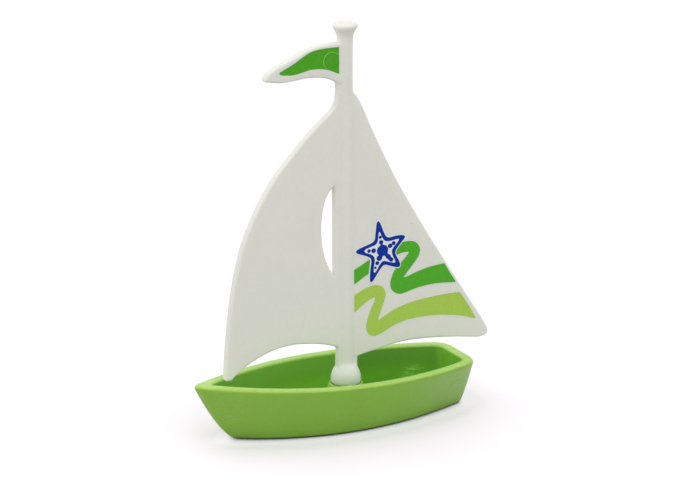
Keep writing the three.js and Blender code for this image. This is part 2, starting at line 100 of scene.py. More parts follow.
MAIN_FOOT = [
    [31.9, 13.05], [29.58, 13.42], [27.1, 13.88],
    [22.19, 14.58], [17.31, 15.02], [14.0, 15.14], [11.0, 14.97], [8.85, 14.66], [6.5, 14.28],
    [4.15, 13.97], [2.9, 13.75], [1.9, 13.55],
]
NECK_FORE, NECK_AFT, NECK_LOW, NECK_HIGH = -2.1, 2.28, 11.0, 17.5
PENNANT_TOP = [
    [-1.2, 81.45], [-4.1, 81.5], [-6.6, 81.32], [-8.9, 80.78], [-10.9, 80.02], [-12.6, 79.28],
    [-14.4, 78.55], [-16.5, 77.72], [-17.75, 77.0], [-18.35, 76.2],
]
PENNANT_BOTTOM = [
    [-17.9, 75.08], [-17.1, 74.92], [-16.48, 74.78], [-15.08, 74.6], [-14.0, 74.55],
    [-12.9, 74.57], [-11.74, 74.69], [-10.47, 74.83], [-9.3, 74.9], [-8.07, 74.86],
    [-6.08, 74.68], [-5.15, 74.48], [-4.1, 74.14], [-3.4, 73.82], [-2.7, 73.4], [-2.1, 73.1],
    [-1.4, 72.95],
]
# The pennant's sunk panel, as smooth runs that meet at sharp corners.
PANEL = [
    [[-1.87, 80.68], [-3.4, 80.7], [-5.6, 80.68], [-7.3, 80.55], [-8.5, 80.25], [-9.74, 79.67],
     [-12.08, 78.36], [-13.8, 77.57], [-15.35, 76.92]],
    [[-15.35, 76.92], [-15.45, 76.65], [-15.2, 76.36], [-13.55, 76.07], [-12.4, 75.99],
     [-11.5, 76.04], [-10.0, 76.33], [-8.3, 76.61], [-7.2, 76.61], [-6.05, 76.49],
     [-4.4, 76.15], [-3.3, 75.68], [-1.87, 74.98]],
    [[-1.87, 74.98], [-1.87, 80.68]],
]
PIN_X, PIN_Z, PIN_R = -3.6, 77.95, 1.8  # the circle left by an ejector pin in the panel

# Turned profiles about the Z axis: radius, z.
MAST = [
    [0, 85.34], [1.95, 85.33], [2.35, 85.27], [2.6, 85.13], [2.73, 84.95], [2.75, 84.78],
    [2.66, 84.55], [2.45, 84.2], [2.16, 83.8], [1.94, 83.42], [1.77, 82.95], [1.67, 82.3],
    [1.63, 80.5], [1.59, 75.0], [1.59, 68.0],
    [1.61, 55.0], [1.63, 40.0], [1.65, 26.0], [1.66, 12.7], [1.74, 12.3], [1.95, 12.0],
    [2.24, 11.68], [2.5, 11.22], [2.76, 10.74], [2.97, 10.26], [3.11, 9.72], [3.19, 9.22],
    [3.23, 8.7], [3.21, 8.35], [3.13, 8.06], [2.88, 7.88], [2.4, 7.8], [1.9, 7.78],
    [1.9, 3.3], [1.55, 2.95], [0, 2.95],
]
BOSS = [
    [0, 8.06], [3.4, 8.06], [3.52, 7.97], [3.68, 7.6], [3.9, 7.0], [4.03, 6.3], [4.17, 5.0],
    [4.3, 3.3], [4.35, 1.6], [0, 1.6],
]
SOCKET = [[0, 12], [3.21, 12], [3.21, 7.9], [3.07, 7.6], [1.98, 7.6], [1.98, 2.6], [0, 2.6]]


def rim_z(x):
    rise = np.maximum(RISE_X - x, 0.0)
    return RIM_Z + RIM_SLOPE * x + RIM_CURVE * x * x + BOW_RISE * rise * rise


# ============================================================ 2-D curves

def catmull(points, step):
    """A centripetal Catmull-Rom curve through points, sampled about every step mm."""
    p = np.array(points, float)
    if len(p) == 2:
        n = max(1, int(np.linalg.norm(p[1] - p[0]) / step))
        t = np.linspace(0, 1, n + 1)[:, None]
        return p[0] * (1 - t) + p[1] * t
    extended = np.vstack([2 * p[0] - p[1], p, 2 * p[-1] - p[-2]])
    out = [p[0]]
    for i in range(1, len(extended) - 2):
        p0, p1, p2, p3 = extended[i - 1 : i + 3]
        pairs = ((p0, p1), (p1, p2), (p2, p3))
        knots = [max(np.linalg.norm(b - a), 1e-9) ** 0.5 for a, b in pairs]
        t0, t1 = 0.0, knots[0]
        t2, t3 = t1 + knots[1], t1 + knots[1] + knots[2]
        n = max(1, int(math.ceil(np.linalg.norm(p2 - p1) / step)))
        for k in range(1, n + 1):
            t = t1 + (t2 - t1) * k / n
            a1 = (t1 - t) / (t1 - t0) * p0 + (t - t0) / (t1 - t0) * p1
            a2 = (t2 - t) / (t2 - t1) * p1 + (t - t1) / (t2 - t1) * p2
            a3 = (t3 - t) / (t3 - t2) * p2 + (t - t2) / (t3 - t2) * p3
            b1 = (t2 - t) / (t2 - t0) * a1 + (t - t0) / (t2 - t0) * a2
            b2 = (t3 - t) / (t3 - t1) * a2 + (t - t1) / (t3 - t1) * a3
            out.append((t2 - t) / (t2 - t1) * b1 + (t - t1) / (t2 - t1) * b2)
    return np.array(out)


def arc_lengths(p):
    return np.r_[0, np.cumsum(np.linalg.norm(np.diff(p, axis=0), axis=1))]


def spaced(p, count):
    """count points at even distances along the polyline p."""
    lengths = arc_lengths(p)
    t = np.linspace(0, lengths[-1], count)
    return np.c_[np.interp(t, lengths, p[:, 0]), np.interp(t, lengths, p[:, 1])]


def resample(p, step):
    return spaced(p, max(2, int(round(arc_lengths(p)[-1] / step)) + 1))


def gaussian(reach, spacing, sigma):
    """Normalised weights at -reach..reach steps of spacing."""
    weights = np.exp(-0.5 * (np.arange(-reach, reach + 1) * spacing / sigma) ** 2)
    return weights / weights.sum()


def fair(points, step, sigma):
    """A smooth curve close to points: the spline through them, with small wiggles ironed out.
    Its ends stay where they are. It must be longer than 3 sigma."""
    fine = 0.1
    p = resample(catmull(points, fine), fine)
    reach = int(round(3 * sigma / fine))
    weights = gaussian(reach, fine, sigma)
    # reflect about the ends, so that they don't move
    head = 2 * p[0] - p[1 : reach + 1][::-1]
    tail = 2 * p[-1] - p[-reach - 1 : -1][::-1]
    padded = np.vstack([head, p, tail])
    q = np.c_[[np.convolve(padded[:, a], weights, "valid") for a in (0, 1)]].T
    q[0], q[-1] = p[0], p[-1]
    return resample(q, step)


def corner(before, tip, after, radius, count=7):
    """A rounded corner at tip between the directions of before and after."""
    before, tip, after = (np.array(v, float) for v in (before, tip, after))
    u = (before - tip) / np.linalg.norm(before - tip)
    v = (after - tip) / np.linalg.norm(after - tip)
    half = math.acos(np.clip(u @ v, -1, 1)) / 2
    inset = radius / math.tan(half)
    p, q = tip + u * inset, tip + v * inset
    centre = tip + (u + v) / np.linalg.norm(u + v) * (radius / math.sin(half))
    start, end = (math.atan2(*(e - centre)[::-1]) for e in (p, q))
    sweep = (end - start + math.pi) % (2 * math.pi) - math.pi
    angles = [start + sweep * k / count for k in range(count + 1)]
    return np.array([centre + radius * np.array([math.cos(a), math.sin(a)]) for a in angles])


def closed(runs, step):
    """A closed outline from smooth runs that meet at sharp corners."""
    return np.vstack([catmull(run, step)[:-1] for run in runs])


def loop(points, step=0.06):
    """A smooth closed curve through points."""
    curve = catmull(points[-3:] + points + points[:3], step)
    passes = np.flatnonzero(np.linalg.norm(curve - points[0], axis=1) < 1e-6)
    return curve[passes[0] : passes[-1]]


def signed_area(q):
    return 0.5 * np.sum(q[:, 0] * np.roll(q[:, 1], -1) - np.roll(q[:, 0], -1) * q[:, 1])


# ============================================================ distance fields

def poly_sdf(poly, X, Z):
    """Signed distance to a closed polygon, negative inside."""
    p = np.asarray(poly, np.float32)
    X, Z = X.astype(np.float32), Z.astype(np.float32)
    nearest = np.full(X.shape, 1e9, np.float32)
    inside = np.zeros(X.shape, bool)
    for a, b in zip(p, np.roll(p, -1, axis=0)):
        e = b - a
        length2 = float(e @ e)
        if length2 < 1e-12:
            continue
        wx, wz = X - a[0], Z - a[1]
        t = np.clip((wx * e[0] + wz * e[1]) / length2, 0, 1)
        nearest = np.minimum(nearest, (wx - t * e[0]) ** 2 + (wz - t * e[1]) ** 2)
        if e[1] != 0:
            crossed = X < a[0] + (Z - a[1]) * (e[0] / e[1])
            inside ^= ((a[1] <= Z) != (b[1] <= Z)) & crossed
    return np.where(inside, -1, 1) * np.sqrt(nearest)


def locate(u, start, step, count):
    """The grid cell that holds u, and how far across the cell u lies."""
    place = np.clip((u - start) / step, 0, count - 1.001)
    cell = place.astype(np.int32)
    return cell, (place - cell).astype(np.float32)


def bilinear(a, i, j, s, t, layer=()):
    """Reads a at cells i, j and shares s, t; layer holds any leading indices."""
    return (a[layer + (i, j)] * (1 - s) + a[layer + (i + 1, j)] * s) * (1 - t) + (
        a[layer + (i, j + 1)] * (1 - s) + a[layer + (i + 1, j + 1)] * s
    ) * t


class Table:
    """A field on a regular 2-D grid, read by bilinear interpolation."""

    def __init__(self, u0, u1, v0, v1, step, field):
        self.u0, self.v0, self.step = u0, v0, step
        u = np.arange(u0, u1 + step, step)
        v = np.arange(v0, v1 + step, step)
        U, V = np.meshgrid(u, v, indexing="ij")
        self.a = field(U, V).astype(np.float32)

    def __call__(self, u, v):
        i, s = locate(u, self.u0, self.step, self.a.shape[0])
        j, t = locate(v, self.v0, self.step, self.a.shape[1])
        return bilinear(self.a, i, j, s, t)


def outline_table(outline, u0, u1, v0, v1, step):
    return Table(u0, u1, v0, v1, step, lambda U, V: poly_sdf(outline, U, V))


def turned_table(profile, radius, z0, z1, step=0.06):
    p = np.array(profile, float)
    return outline_table(np.vstack([p, (p * [-1, 1])[::-1]]), 0, radius, z0, z1, step)


def union_round(a, b, r):
    """The union of a and b, with its inner corner filled to radius r."""
    u, v = np.maximum(r - a, 0), np.maximum(r - b, 0)
    return np.maximum(r, np.minimum(a, b)) - np.sqrt(u * u + v * v)


def cut_round(a, b, r):
    """The intersection of a and b, with its edge rounded to radius r."""
    u, v = np.maximum(r + a, 0), np.maximum(r + b, 0)
    return np.minimum(-r, np.maximum(a, b)) + np.sqrt(u * u + v * v)


def share(x, start, span):
    """0 at start, 1 at start + span and beyond."""
    return np.clip((x - start) / span, 0, 1)


# ============================================================ meshing

CORNERS = np.array([(i, j, k) for i in (0, 1) for j in (0, 1) for k in (0, 1)])
EDGES = [
    (a, b) for a in range(8) for b in range(a + 1, 8) if abs(CORNERS[a] - CORNERS[b]).sum() == 1
]


def surface_net(F, origin, h):
    """Quads on the zero surface of a grid of distances that are negative inside."""
    S = F < 0
    filled = np.zeros(tuple(s - 1 for s in S.shape), np.uint8)
    for i, j, k in CORNERS:
        filled += S[i : S.shape[0] - 1 + i, j : S.shape[1] - 1 + j, k : S.shape[2] - 1 + k]
    mixed = (filled > 0) & (filled < 8)
    cells = np.argwhere(mixed)
    index = np.full(mixed.shape, -1, np.int32)
    index[mixed] = np.arange(len(cells))
    values = [F[cells[:, 0] + i, cells[:, 1] + j, cells[:, 2] + k] for i, j, k in CORNERS]
    # each cell's point is the mean of the places where its edges cross the surface
    total, count = np.zeros((len(cells), 3)), np.zeros(len(cells))
    for a, b in EDGES:
        fa, fb = values[a], values[b]
        m = (fa < 0) != (fb < 0)
        t = fa[m] / (fa[m] - fb[m])
        total[m] += CORNERS[a] + t[:, None] * (CORNERS[b] - CORNERS[a])
        count[m] += 1
    verts = np.array(origin) + h * (cells + total / count[:, None])
    # each grid edge that crosses the surface gives a quad of the four cells around it
    quads = []
    for axis in range(3):
        b, c = (axis + 1) % 3, (axis + 2) % 3
        lo = [slice(None)] * 3
        hi = [slice(None)] * 3
        lo[axis], hi[axis] = slice(0, -1), slice(1, None)
        e = np.argwhere(S[tuple(lo)] != S[tuple(hi)])
        ok = (e[:, b] > 0) & (e[:, c] > 0) & (e[:, b] < F.shape[b] - 1) & (e[:, c] < F.shape[c] - 1)
        e = e[ok]
        inside_first = S[tuple(e.T)]
        ring = []
        for db, dc in ((-1, -1), (0, -1), (0, 0), (-1, 0)):
            q = e.copy()
            q[:, b] += db
            q[:, c] += dc
            ring.append(index[tuple(q.T)])
        q = np.stack(ring, 1)
        q[~inside_first] = q[~inside_first][:, ::-1]
        quads.append(q)
    return verts, np.vstack(quads)


def gradient(field, P, e=0.02):
    g = np.empty_like(P)
    for a in range(3):
        d = np.zeros(3)
        d[a] = e
        g[:, a] = field(*(P + d).T) - field(*(P - d).T)
    return g / (2 * e)


def shade_smooth(me):
    me.polygons.foreach_set("use_smooth", np.ones(len(me.polygons), bool))


def mesh_object(name, verts_mm, faces):
    """An object from an array of equal faces, shaded smooth, or from a list of faces."""
    me = bpy.data.meshes.new(name)
    v = np.asarray(verts_mm, np.float64) * MM
    is_array = isinstance(faces, np.ndarray)
    if is_array:
        m, k = faces.shape
        me.vertices.add(len(v))
        me.vertices.foreach_set("co", v.astype(np.float32).ravel())
        me.loops.add(m * k)
        me.loops.foreach_set("vertex_index", faces.astype(np.int32).ravel())
        me.polygons.add(m)
        me.polygons.foreach_set("loop_start", np.arange(0, m * k, k, dtype=np.int32))
        me.polygons.foreach_set("loop_total", np.full(m, k, np.int32))
        me.update(calc_edges=True)
    else:
        me.from_pydata([tuple(p) for p in v], [], faces)
        me.update()
    me.validate()
    if is_array:
        shade_smooth(me)
    ob = bpy.data.objects.new(name, me)
    bpy.context.scene.collection.objects.link(ob)
    return ob


def thin_out(ob, ratio):
    """Decimates ob in place and returns its new points in mm."""
    name = ob.name
    mod = ob.modifiers.new("thin", "DECIMATE")
    mod.ratio = ratio
    mod.use_collapse_triangulate = True
    depsgraph = bpy.context.evaluated_depsgraph_get()
    me = bpy.data.meshes.new_from_object(ob.evaluated_get(depsgraph))
    ob.modifiers.clear()
    old = ob.data
    ob.data = me
    me.name = name
    bpy.data.meshes.remove(old)
    shade_smooth(me)
    co = np.empty(len(me.vertices) * 3, np.float32)
    me.vertices.foreach_get("co", co)
    return co.reshape(-1, 3).astype(float) / MM


def moulding(name, grid, field, lo, hi, h, target):
    """Meshes a distance field in the box lo..hi with cells of h, to about target triangles.
    grid(x, y, z) reads the field on three axes; field(x, y, z) reads it at points."""
    shape = [int(math.ceil((b - a) / h)) + 1 for a, b in zip(lo, hi)]
    F = grid(*[lo[a] + h * np.arange(shape[a]) for a in range(3)])
    verts, quads = surface_net(F, lo, h)
    for _ in range(2):
        d = field(*verts.T)
        g = gradient(field, verts)
        slope2 = np.maximum((g * g).sum(1), 0.2)
        step = np.clip(d / slope2, -0.6 * h, 0.6 * h)
        verts = verts - g * step[:, None]
    ob = mesh_object(name, verts, quads)
    faces = len(quads) * 2
    if faces > target:
        verts = thin_out(ob, target / faces)
    g = gradient(field, verts)
    g /= np.maximum(np.linalg.norm(g, axis=1), 1e-9)[:, None]
    ob.data.normals_split_custom_set_from_vertices([tuple(n) for n in g])
    return ob


# ============================================================ hull field

def plan_ring(plan, end, turn, spans=60, across=6):
    """The bow, the starboard side, the transom and the port side. The transom's corners, at
    end, are rounded to radius turn."""
    half = spaced(fair(plan + [end], 0.3, 0.8), spans + 1)
    half[0] = [plan[0][0], 0]
    half[-1] = end
    half = np.vstack([half[:-1], corner(half[-3], half[-1], [end[0], 0], turn, 4)])
    y = half[-1][1]
    back = [[end[0], y * (1 - 2 * i / across)] for i in range(1, across)]
    return np.vstack([half, back, (half[1:] * [1, -1])[::-1]])


RIM_RING = plan_ring(RIM_PLAN, RIM_CORNER, turn=0.9)
BOTTOM_RING = plan_ring(BOTTOM_PLAN, BOTTOM_CORNER, turn=1.3)
# Heights at which the plan is drawn, as shares of the rim's height.
LEVELS = np.array([0.0, 0.03, 0.07, 0.12, 0.19, 0.28, 0.4, 0.53, 0.67, 0.82, 1.0, 1.12])


def level_ring(t):
    along = ((RIM_RING[:, 0] - BOW_X) / (TRANSOM_X - BOW_X))[:, None]
    k = np.power(t, 0.7 + 0.1 * along)
    return BOTTOM_RING + (RIM_RING - BOTTOM_RING) * k


def blur(a, sigma_cells):
    """A 2-D Gaussian blur."""
    w = int(math.ceil(3 * sigma_cells))
    k = gaussian(w, 1, sigma_cells)
    for axis in (0, 1):
        pad = [(0, 0)] * 2
        pad[axis] = (w, w)
        p = np.pad(a, pad, mode="reflect", reflect_type="odd")
        rows = np.arange(a.shape[axis])
        a = sum(k[i] * np.take(p, rows + i, axis=axis) for i in range(2 * w + 1))
    return a


class PlanField:
    """Distance in plan to the hull's outline at each level, read at any point."""

    X0, X1, Y0, Y1 = -37.0, 30.0, -14.0, 14.0

    def __init__(self, step, sigma):
        self.step = step
        x = np.arange(self.X0, self.X1, step)
        y = np.arange(self.Y0, self.Y1 + step, step)
        X, Y = np.meshgrid(x, y, indexing="ij")
        self.a = np.stack([blur(poly_sdf(level_ring(t), X, Y), sigma / step) for t in LEVELS])

    def __call__(self, x, y, z):
        x, y, z = np.broadcast_arrays(x, y, z)
        t = np.clip(z / rim_z(x), 0, LEVELS[-1] - 1e-6)
        level = np.interp(t, LEVELS, np.arange(len(LEVELS)))
        below = np.minimum(level.astype(np.int32), len(LEVELS) - 2)
        w = (level - below).astype(np.float32)
        i, s = locate(x, self.X0, self.step, self.a.shape[1])
        j, u = locate(y, self.Y0, self.step, self.a.shape[2])
        under = bilinear(self.a, i, j, s, u, (below,))
        over = bilinear(self.a, i, j, s, u, (below + 1,))
        return under * (1 - w) + over * w


OUTER = PlanField(step=0.15, sigma=0.22)
INNER = PlanField(step=0.2, sigma=0.6)
BOSS_TABLE = turned_table(BOSS, 7, 0, 13)
SOCKET_TABLE = turned_table(SOCKET, 7, 0, 13)

# Corrections from distance in plan to distance from a sloping surface.
OUTER_SLANT, INNER_SLANT, RIM_SLANT = 0.957, 0.965, 0.999
BOTTOM_ROUND, FLOOR_ROUND, INNER_RIM_ROUND = 0.45, 1.2, 0.28
BOSS_REACH, BOSS_ROUND, SOCKET_ROUND = 7.5, 0.75, 0.12


def hull_field(x, y, z):
    x, y, z = np.broadcast_arrays(x, y, z)
    side = OUTER(x, y, z) * OUTER_SLANT
    top = (z - rim_z(x)) * RIM_SLANT
    # the rim's rounding grows towards the bow and at the transom's corners
    edge = 0.42 + 0.38 * share(x, -4.0, -24.0)
    edge = edge + 0.5 * share(x, 26.4, 1.0) * share(np.abs(y), 4.2, 1.2)
    body = cut_round(cut_round(side, top, edge), -z, BOTTOM_ROUND)
    # the wall thickens upwards, at the bow and at the transom
    t = np.clip(z / rim_z(x), 0, 1)
    wall = 1.78 + 0.35 * t + 0.3 * share(x, -22.0, -7.0) + 0.12 * share(x, 24.0, 2.0)
    hollow = cut_round((INNER(x, y, z) + wall) * INNER_SLANT, FLOOR_Z - z, FLOOR_ROUND)
    f = cut_round(body, -hollow, INNER_RIM_ROUND)
    rho = np.sqrt(x * x + y * y)
    near = rho < BOSS_REACH
    if near.any():
        part = union_round(f[near], BOSS_TABLE(rho[near], z[near]), BOSS_ROUND)
        f[near] = cut_round(part, -SOCKET_TABLE(rho[near], z[near]), SOCKET_ROUND)
    return f


def hull_grid(x, y, z):
    """The hull's field on a grid, one level at a time."""
    out = np.empty((len(x), len(y), len(z)), np.float32)
    X, Y = np.meshgrid(x, y, indexing="ij")
    for k, height in enumerate(z):
        out[:, :, k] = hull_field(X, Y, np.full_like(X, height))
    return out


# ============================================================ rig field

def jib_outline():
    luff = fair(JIB_LUFF, 0.5, 1.4)
    foot = fair(JIB_FOOT, 0.5, 1.0)
    heel, toe = [-28.2, 13.2], [-26.98, 13.08]
    tack = corner(luff[-2], heel, toe, 0.22)
    tack = tack[tack[:, 1] < luff[-1][1]]
    foot = foot[foot[:, 0] > -26.4]
    under = corner(heel, toe, foot[0], 0.3)
    return np.vstack([[[0.7, 74.4]], luff[:-1], tack, under, foot, [[0.7, 16.2]]])


def main_outline():
    leech = fair(MAIN_LEECH, 0.6, 1.5)
    foot = fair(MAIN_FOOT, 0.6, 1.2)
    clew = corner(leech[-3], [34.75, 13.12], foot[2], 1.1, 10)
    leech = leech[leech[:, 1] > clew[0][1] + 0.2]
    foot = foot[foot[:, 0] < clew[-1][0] - 0.2]
    return np.vstack([[[-0.7, 71.6]], leech, clew, foot, [[-0.7, 13.5]]])


def pennant_outline():
    top = fair(PENNANT_TOP, 0.4, 0.7)
    bottom = fair(PENNANT_BOTTOM, 0.4, 0.6)
    tip = corner(top[-3], [-19.0, 75.22], bottom[2], 0.45, 6)
    top = top[top[:, 1] > tip[0][1] + 0.15]
    bottom = bottom[bottom[:, 0] > tip[-1][0] + 0.15]
    return np.vstack([[[0, 81.45]], top, tip, bottom, [[0, 72.9]]])


def jib_field(U, V):
    """The jib, less the slot before the mast."""
    slot = np.vstack([fair(SLOT_BACK, 0.4, 0.7), SLOT_BACK[:1]])
    return np.maximum(poly_sdf(jib_outline(), U, V), -poly_sdf(slot, U, V) - 0.3)


# How far the tables of the sails and the pennant reach.
PAST_MAST, SAIL_LOW, JIB_HIGH, MAIN_HIGH = 3, 10, 80, 76
PENNANT_BOX = (-21, PAST_MAST, 68, 86)
MAST_REACH = 4.9

JIB_TABLE = Table(-30.0, PAST_MAST, SAIL_LOW, JIB_HIGH, 0.12, jib_field)
MAIN_TABLE = outline_table(main_outline(), -PAST_MAST, 36.0, SAIL_LOW, MAIN_HIGH, 0.12)
PENNANT_TABLE = outline_table(pennant_outline(), *PENNANT_BOX, 0.1)
PANEL_OUTLINE = closed(PANEL, 0.25)
PANEL_TABLE = outline_table(PANEL_OUTLINE, *PENNANT_BOX, 0.1)
# all but the two ends on the axis and the square heel are faired
MAST_PROFILE = np.vstack([MAST[:1], fair(MAST[1:32], 0.25, 0.35), MAST[32:]])
MAST_TABLE = turned_table(MAST_PROFILE, 5, 1, 88, 0.08)


def sheet(outline, off_middle, thick, round_):
    return cut_round(outline, off_middle - thick / 2, round_)


def rig_outlines(x, z):
    """In the rig's plane: distance to the sails with the neck, the pennant, and its panel."""
    far = np.float32(9.0)
    before, high = x < PAST_MAST, z > SAIL_LOW
    jib = np.where(before & high & (z < JIB_HIGH), JIB_TABLE(x, z), far)
    main = np.where((x > -PAST_MAST) & high & (z < MAIN_HIGH), MAIN_TABLE(x, z), far)
    across = np.maximum(x - NECK_AFT, NECK_FORE - x)
    neck = np.maximum(across, np.maximum(NECK_LOW - z, z - NECK_HIGH))
    sails = union_round(union_round(jib, neck, 0.3), main, 0.15)
    top = before & (z > 68.1)
    return sails, np.where(top, PENNANT_TABLE(x, z), far), np.where(top, PANEL_TABLE(x, z), far)


def rig_solid(sails, pennant, panel, x, y, z):
    off_middle = np.abs(y)
    f = sheet(sails - 0.1, off_middle, SAIL_T, 0.46)
    flag = sheet(pennant, off_middle, PENNANT_T, 0.5)
    # the sunk panel, on the -Y side only
    sunk = cut_round(panel, y + PENNANT_T / 2 - PANEL_DEPTH, 0.06)
    flag = cut_round(flag, -sunk, 0.05)
    f = union_round(f, flag, 0.5)
    rho = np.sqrt(x * x + y * y)
    near = rho < MAST_REACH
    if near.any():
        f[near] = union_round(f[near], MAST_TABLE(rho[near], z[near]), 0.3)
    return f


def rig_field(x, y, z):
    return rig_solid(*rig_outlines(x, z), x, y, z)


def rig_grid(x, y, z):
    """The same field on a grid, with the outlines read once and spread across the thickness."""
    X, Z = np.meshgrid(x, z, indexing="ij")
    flat = rig_outlines(X, Z)
    out = np.empty((len(x), len(y), len(z)), np.float32)
    for j, side in enumerate(y):
        out[:, j, :] = rig_solid(*flat, X, np.full_like(X, side), Z)
    return out


hull = moulding(
    "hull_moulding", hull_grid, hull_field, lo=(-36.2, -13.2, -0.77), hi=(29.0, 13.2, 14.2),
    h=0.16, target=180000,
)
rig = moulding(
    "rig_moulding", rig_grid, rig_field, lo=(-29.6, -3.93, 2.31), hi=(35.6, 3.93, 86.1),
    h=0.14, target=190000,
)


# ============================================================ flat shapes and films

def triangulate(outlines, extra=()):
    """A flat mesh that keeps the outlines' edges: its points, its faces and their centres."""
    verts, edges = [], []
    for o in outlines:
        base = len(verts)
        verts += [Vector((float(a), float(b))) for a, b in o]
        edges += [(base + i, base + (i + 1) % len(o)) for i in range(len(o))]
    verts += [Vector((float(a), float(b))) for a, b in extra]
    co, _, faces, _, _, _ = delaunay_2d_cdt(verts, edges, [], 0, 1e-6)
    P = np.array([(v.x, v.y) for v in co])
    return P, faces, np.array([P[list(f)].mean(0) for f in faces])


def open_edges(faces):
    """The directed edges that have no face on their other side."""
    half = {}
    for f in faces:
        for i in range(len(f)):
            half[(f[i], f[(i + 1) % len(f)])] = True
    return [(a, b) for a, b in half if (b, a) not in half]


def border(P, faces, chosen):
    """The outlines of the chosen triangles of a flat mesh."""
    following = dict(open_edges([f for f, k in zip(faces, chosen) if k]))
    loops = []
    while following:
        current = next(iter(following))
        run = []
        while current in following:
            run.append(current)
            current = following.pop(current)
        if len(run) > 2 and abs(signed_area(P[run])) > 0.02:
            loops.append(P[run])
    return loops


def merged(outlines):
    """The union of overlapping closed curves, as closed curves."""
    P, faces, centres = triangulate(outlines)
    return border(P, faces, np.any([poly_sdf(o, *centres.T) < 0 for o in outlines], axis=0))


def clipped(outline, keep_out):
    """outline minus keep_out, as closed curves."""
    P, faces, centres = triangulate([outline, keep_out])
    chosen = (poly_sdf(outline, *centres.T) < 0) & (poly_sdf(keep_out, *centres.T) > 0)
    return border(P, faces, chosen)


def grown(outline, distance):
    """The outline of everything within a distance of the outline's inside."""
    lo, hi = outline.min(0) - 1, outline.max(0) + 1
    table = outline_table(outline, lo[0], hi[0], lo[1], hi[1], 0.05)
    along = np.roll(outline, -1, axis=0) - np.roll(outline, 1, axis=0)
    along /= np.maximum(np.linalg.norm(along, axis=1), 1e-9)[:, None]
    outward = np.c_[along[:, 1], -along[:, 0]] * (1 if signed_area(outline) > 0 else -1)
    q = outline + outward * distance
    # points that fell closer to another part of the outline are dropped
    return q[table(q[:, 0], q[:, 1]) > distance * 0.93]


def ellipse(x, z, rx, rz, n=32):
    a = np.linspace(0, 2 * math.pi, n, endpoint=False)
    return np.c_[x + rx * np.cos(a), z + rz * np.sin(a)]


def capsule(x0, z0, x1, z1, r, n=12):
    a = math.atan2(z1 - z0, x1 - x0)
    t = np.linspace(-math.pi / 2, math.pi / 2, n)
    end = np.c_[x1 + r * np.cos(a + t), z1 + r * np.sin(a + t)]
    start = np.c_[x0 - r * np.cos(a + t), z0 - r * np.sin(a + t)]
    return np.vstack([end, start])


def film(name, outlines, face_y, thick=0.04, gap=0.012, grid=0.9, relief=None):
    """A thin printed film on a face that looks towards -Y. outlines is a list of closed curves;
    a curve inside another is a hole, and a curve inside a hole is an island. relief(x, z) lifts
    the film off the face, and grid spaces the points inside."""
    points = np.vstack(outlines)
    lo, hi = points.min(0), points.max(0)
    axes = [np.arange(lo[a], hi[a], grid) for a in (0, 1)]
    gx, gz = np.meshgrid(*axes, indexing="ij")
    distances = [poly_sdf(o, gx, gz) for o in outlines]
    keep = sum(d < 0 for d in distances) % 2 == 1
    keep &= np.min(np.abs(distances), axis=0) > grid * 0.45
    P, faces, centres = triangulate(outlines, zip(gx[keep], gz[keep]))
    depth = sum(poly_sdf(o, *centres.T) < 0 for o in outlines)
    tris = [list(f) for f, k in zip(faces, depth) if k % 2 == 1]
    used = sorted({i for f in tris for i in f})
    remap = {u: i for i, u in enumerate(used)}
    P = P[used]
    n = len(P)
    lift = np.zeros(n) if relief is None else relief(P[:, 0], P[:, 1])
    front = np.c_[P[:, 0], face_y - gap - thick - lift, P[:, 1]]
    back = np.c_[P[:, 0], face_y - gap - lift, P[:, 1]]
    fronts, out = [], []
    for f in tris:
        a, b, c = (remap[i] for i in f)
        # counter-clockwise in (x, z) faces -Y
        if signed_area(P[[a, b, c]]) < 0:
            b, c = c, b
        fronts.append((a, b, c))
        out += [(a, b, c), (n + a, n + c, n + b)]
    out += [(b, a, n + a, n + b) for a, b in open_edges(fronts)]
    return mesh_object(name, np.vstack([front, back]), out)


# ============================================================ prints: x, z

# The waves are smooth runs that meet at sharp corners.
DARK_WAVE = [
    [[1.43, 32.66], [3.27, 33.52], [4.92, 34.34], [7.6, 35.6], [10.1, 36.5], [12.6, 37.05],
     [14.35, 37.12], [15.55, 36.9], [16.3, 36.5], [16.85, 35.85], [17.18, 34.75], [16.87, 33.6],
     [15.5, 31.85], [14.2, 30.45], [13.3, 29.38]],
    [[13.3, 29.38], [13.28, 29.28], [13.42, 29.27]],
    [[13.42, 29.27], [14.4, 29.48], [16.7, 30.15], [18.7, 30.55], [20.8, 30.8], [22.95, 30.95]],
    [[22.95, 30.95], [23.1, 30.92], [23.2, 30.8]],
    [[23.2, 30.8], [24.35, 28.88], [25.85, 26.55]],
    [[25.85, 26.55], [25.88, 26.4], [25.75, 26.35]],
    [[25.75, 26.35], [22.2, 26.72], [19.8, 26.8], [16.4, 26.5], [14.2, 26.03], [12.5, 25.8],
     [11.5, 26.1], [10.9, 26.5], [10.45, 27.0], [10.2, 27.6], [10.1, 28.6], [10.3, 29.5],
     [10.8, 30.7], [11.55, 31.7], [12.5, 32.55], [13.92, 33.85], [14.42, 34.5]],
    [[14.42, 34.5], [14.48, 34.72], [14.28, 34.8]],
    [[14.28, 34.8], [13.3, 34.84], [12.3, 34.7], [11.2, 34.35], [9.0, 33.55], [5.1, 31.5],
     [1.6, 29.58]],
    [[1.6, 29.58], [1.45, 29.58], [1.43, 29.75]],
    [[1.43, 29.75], [1.43, 32.66]],
]
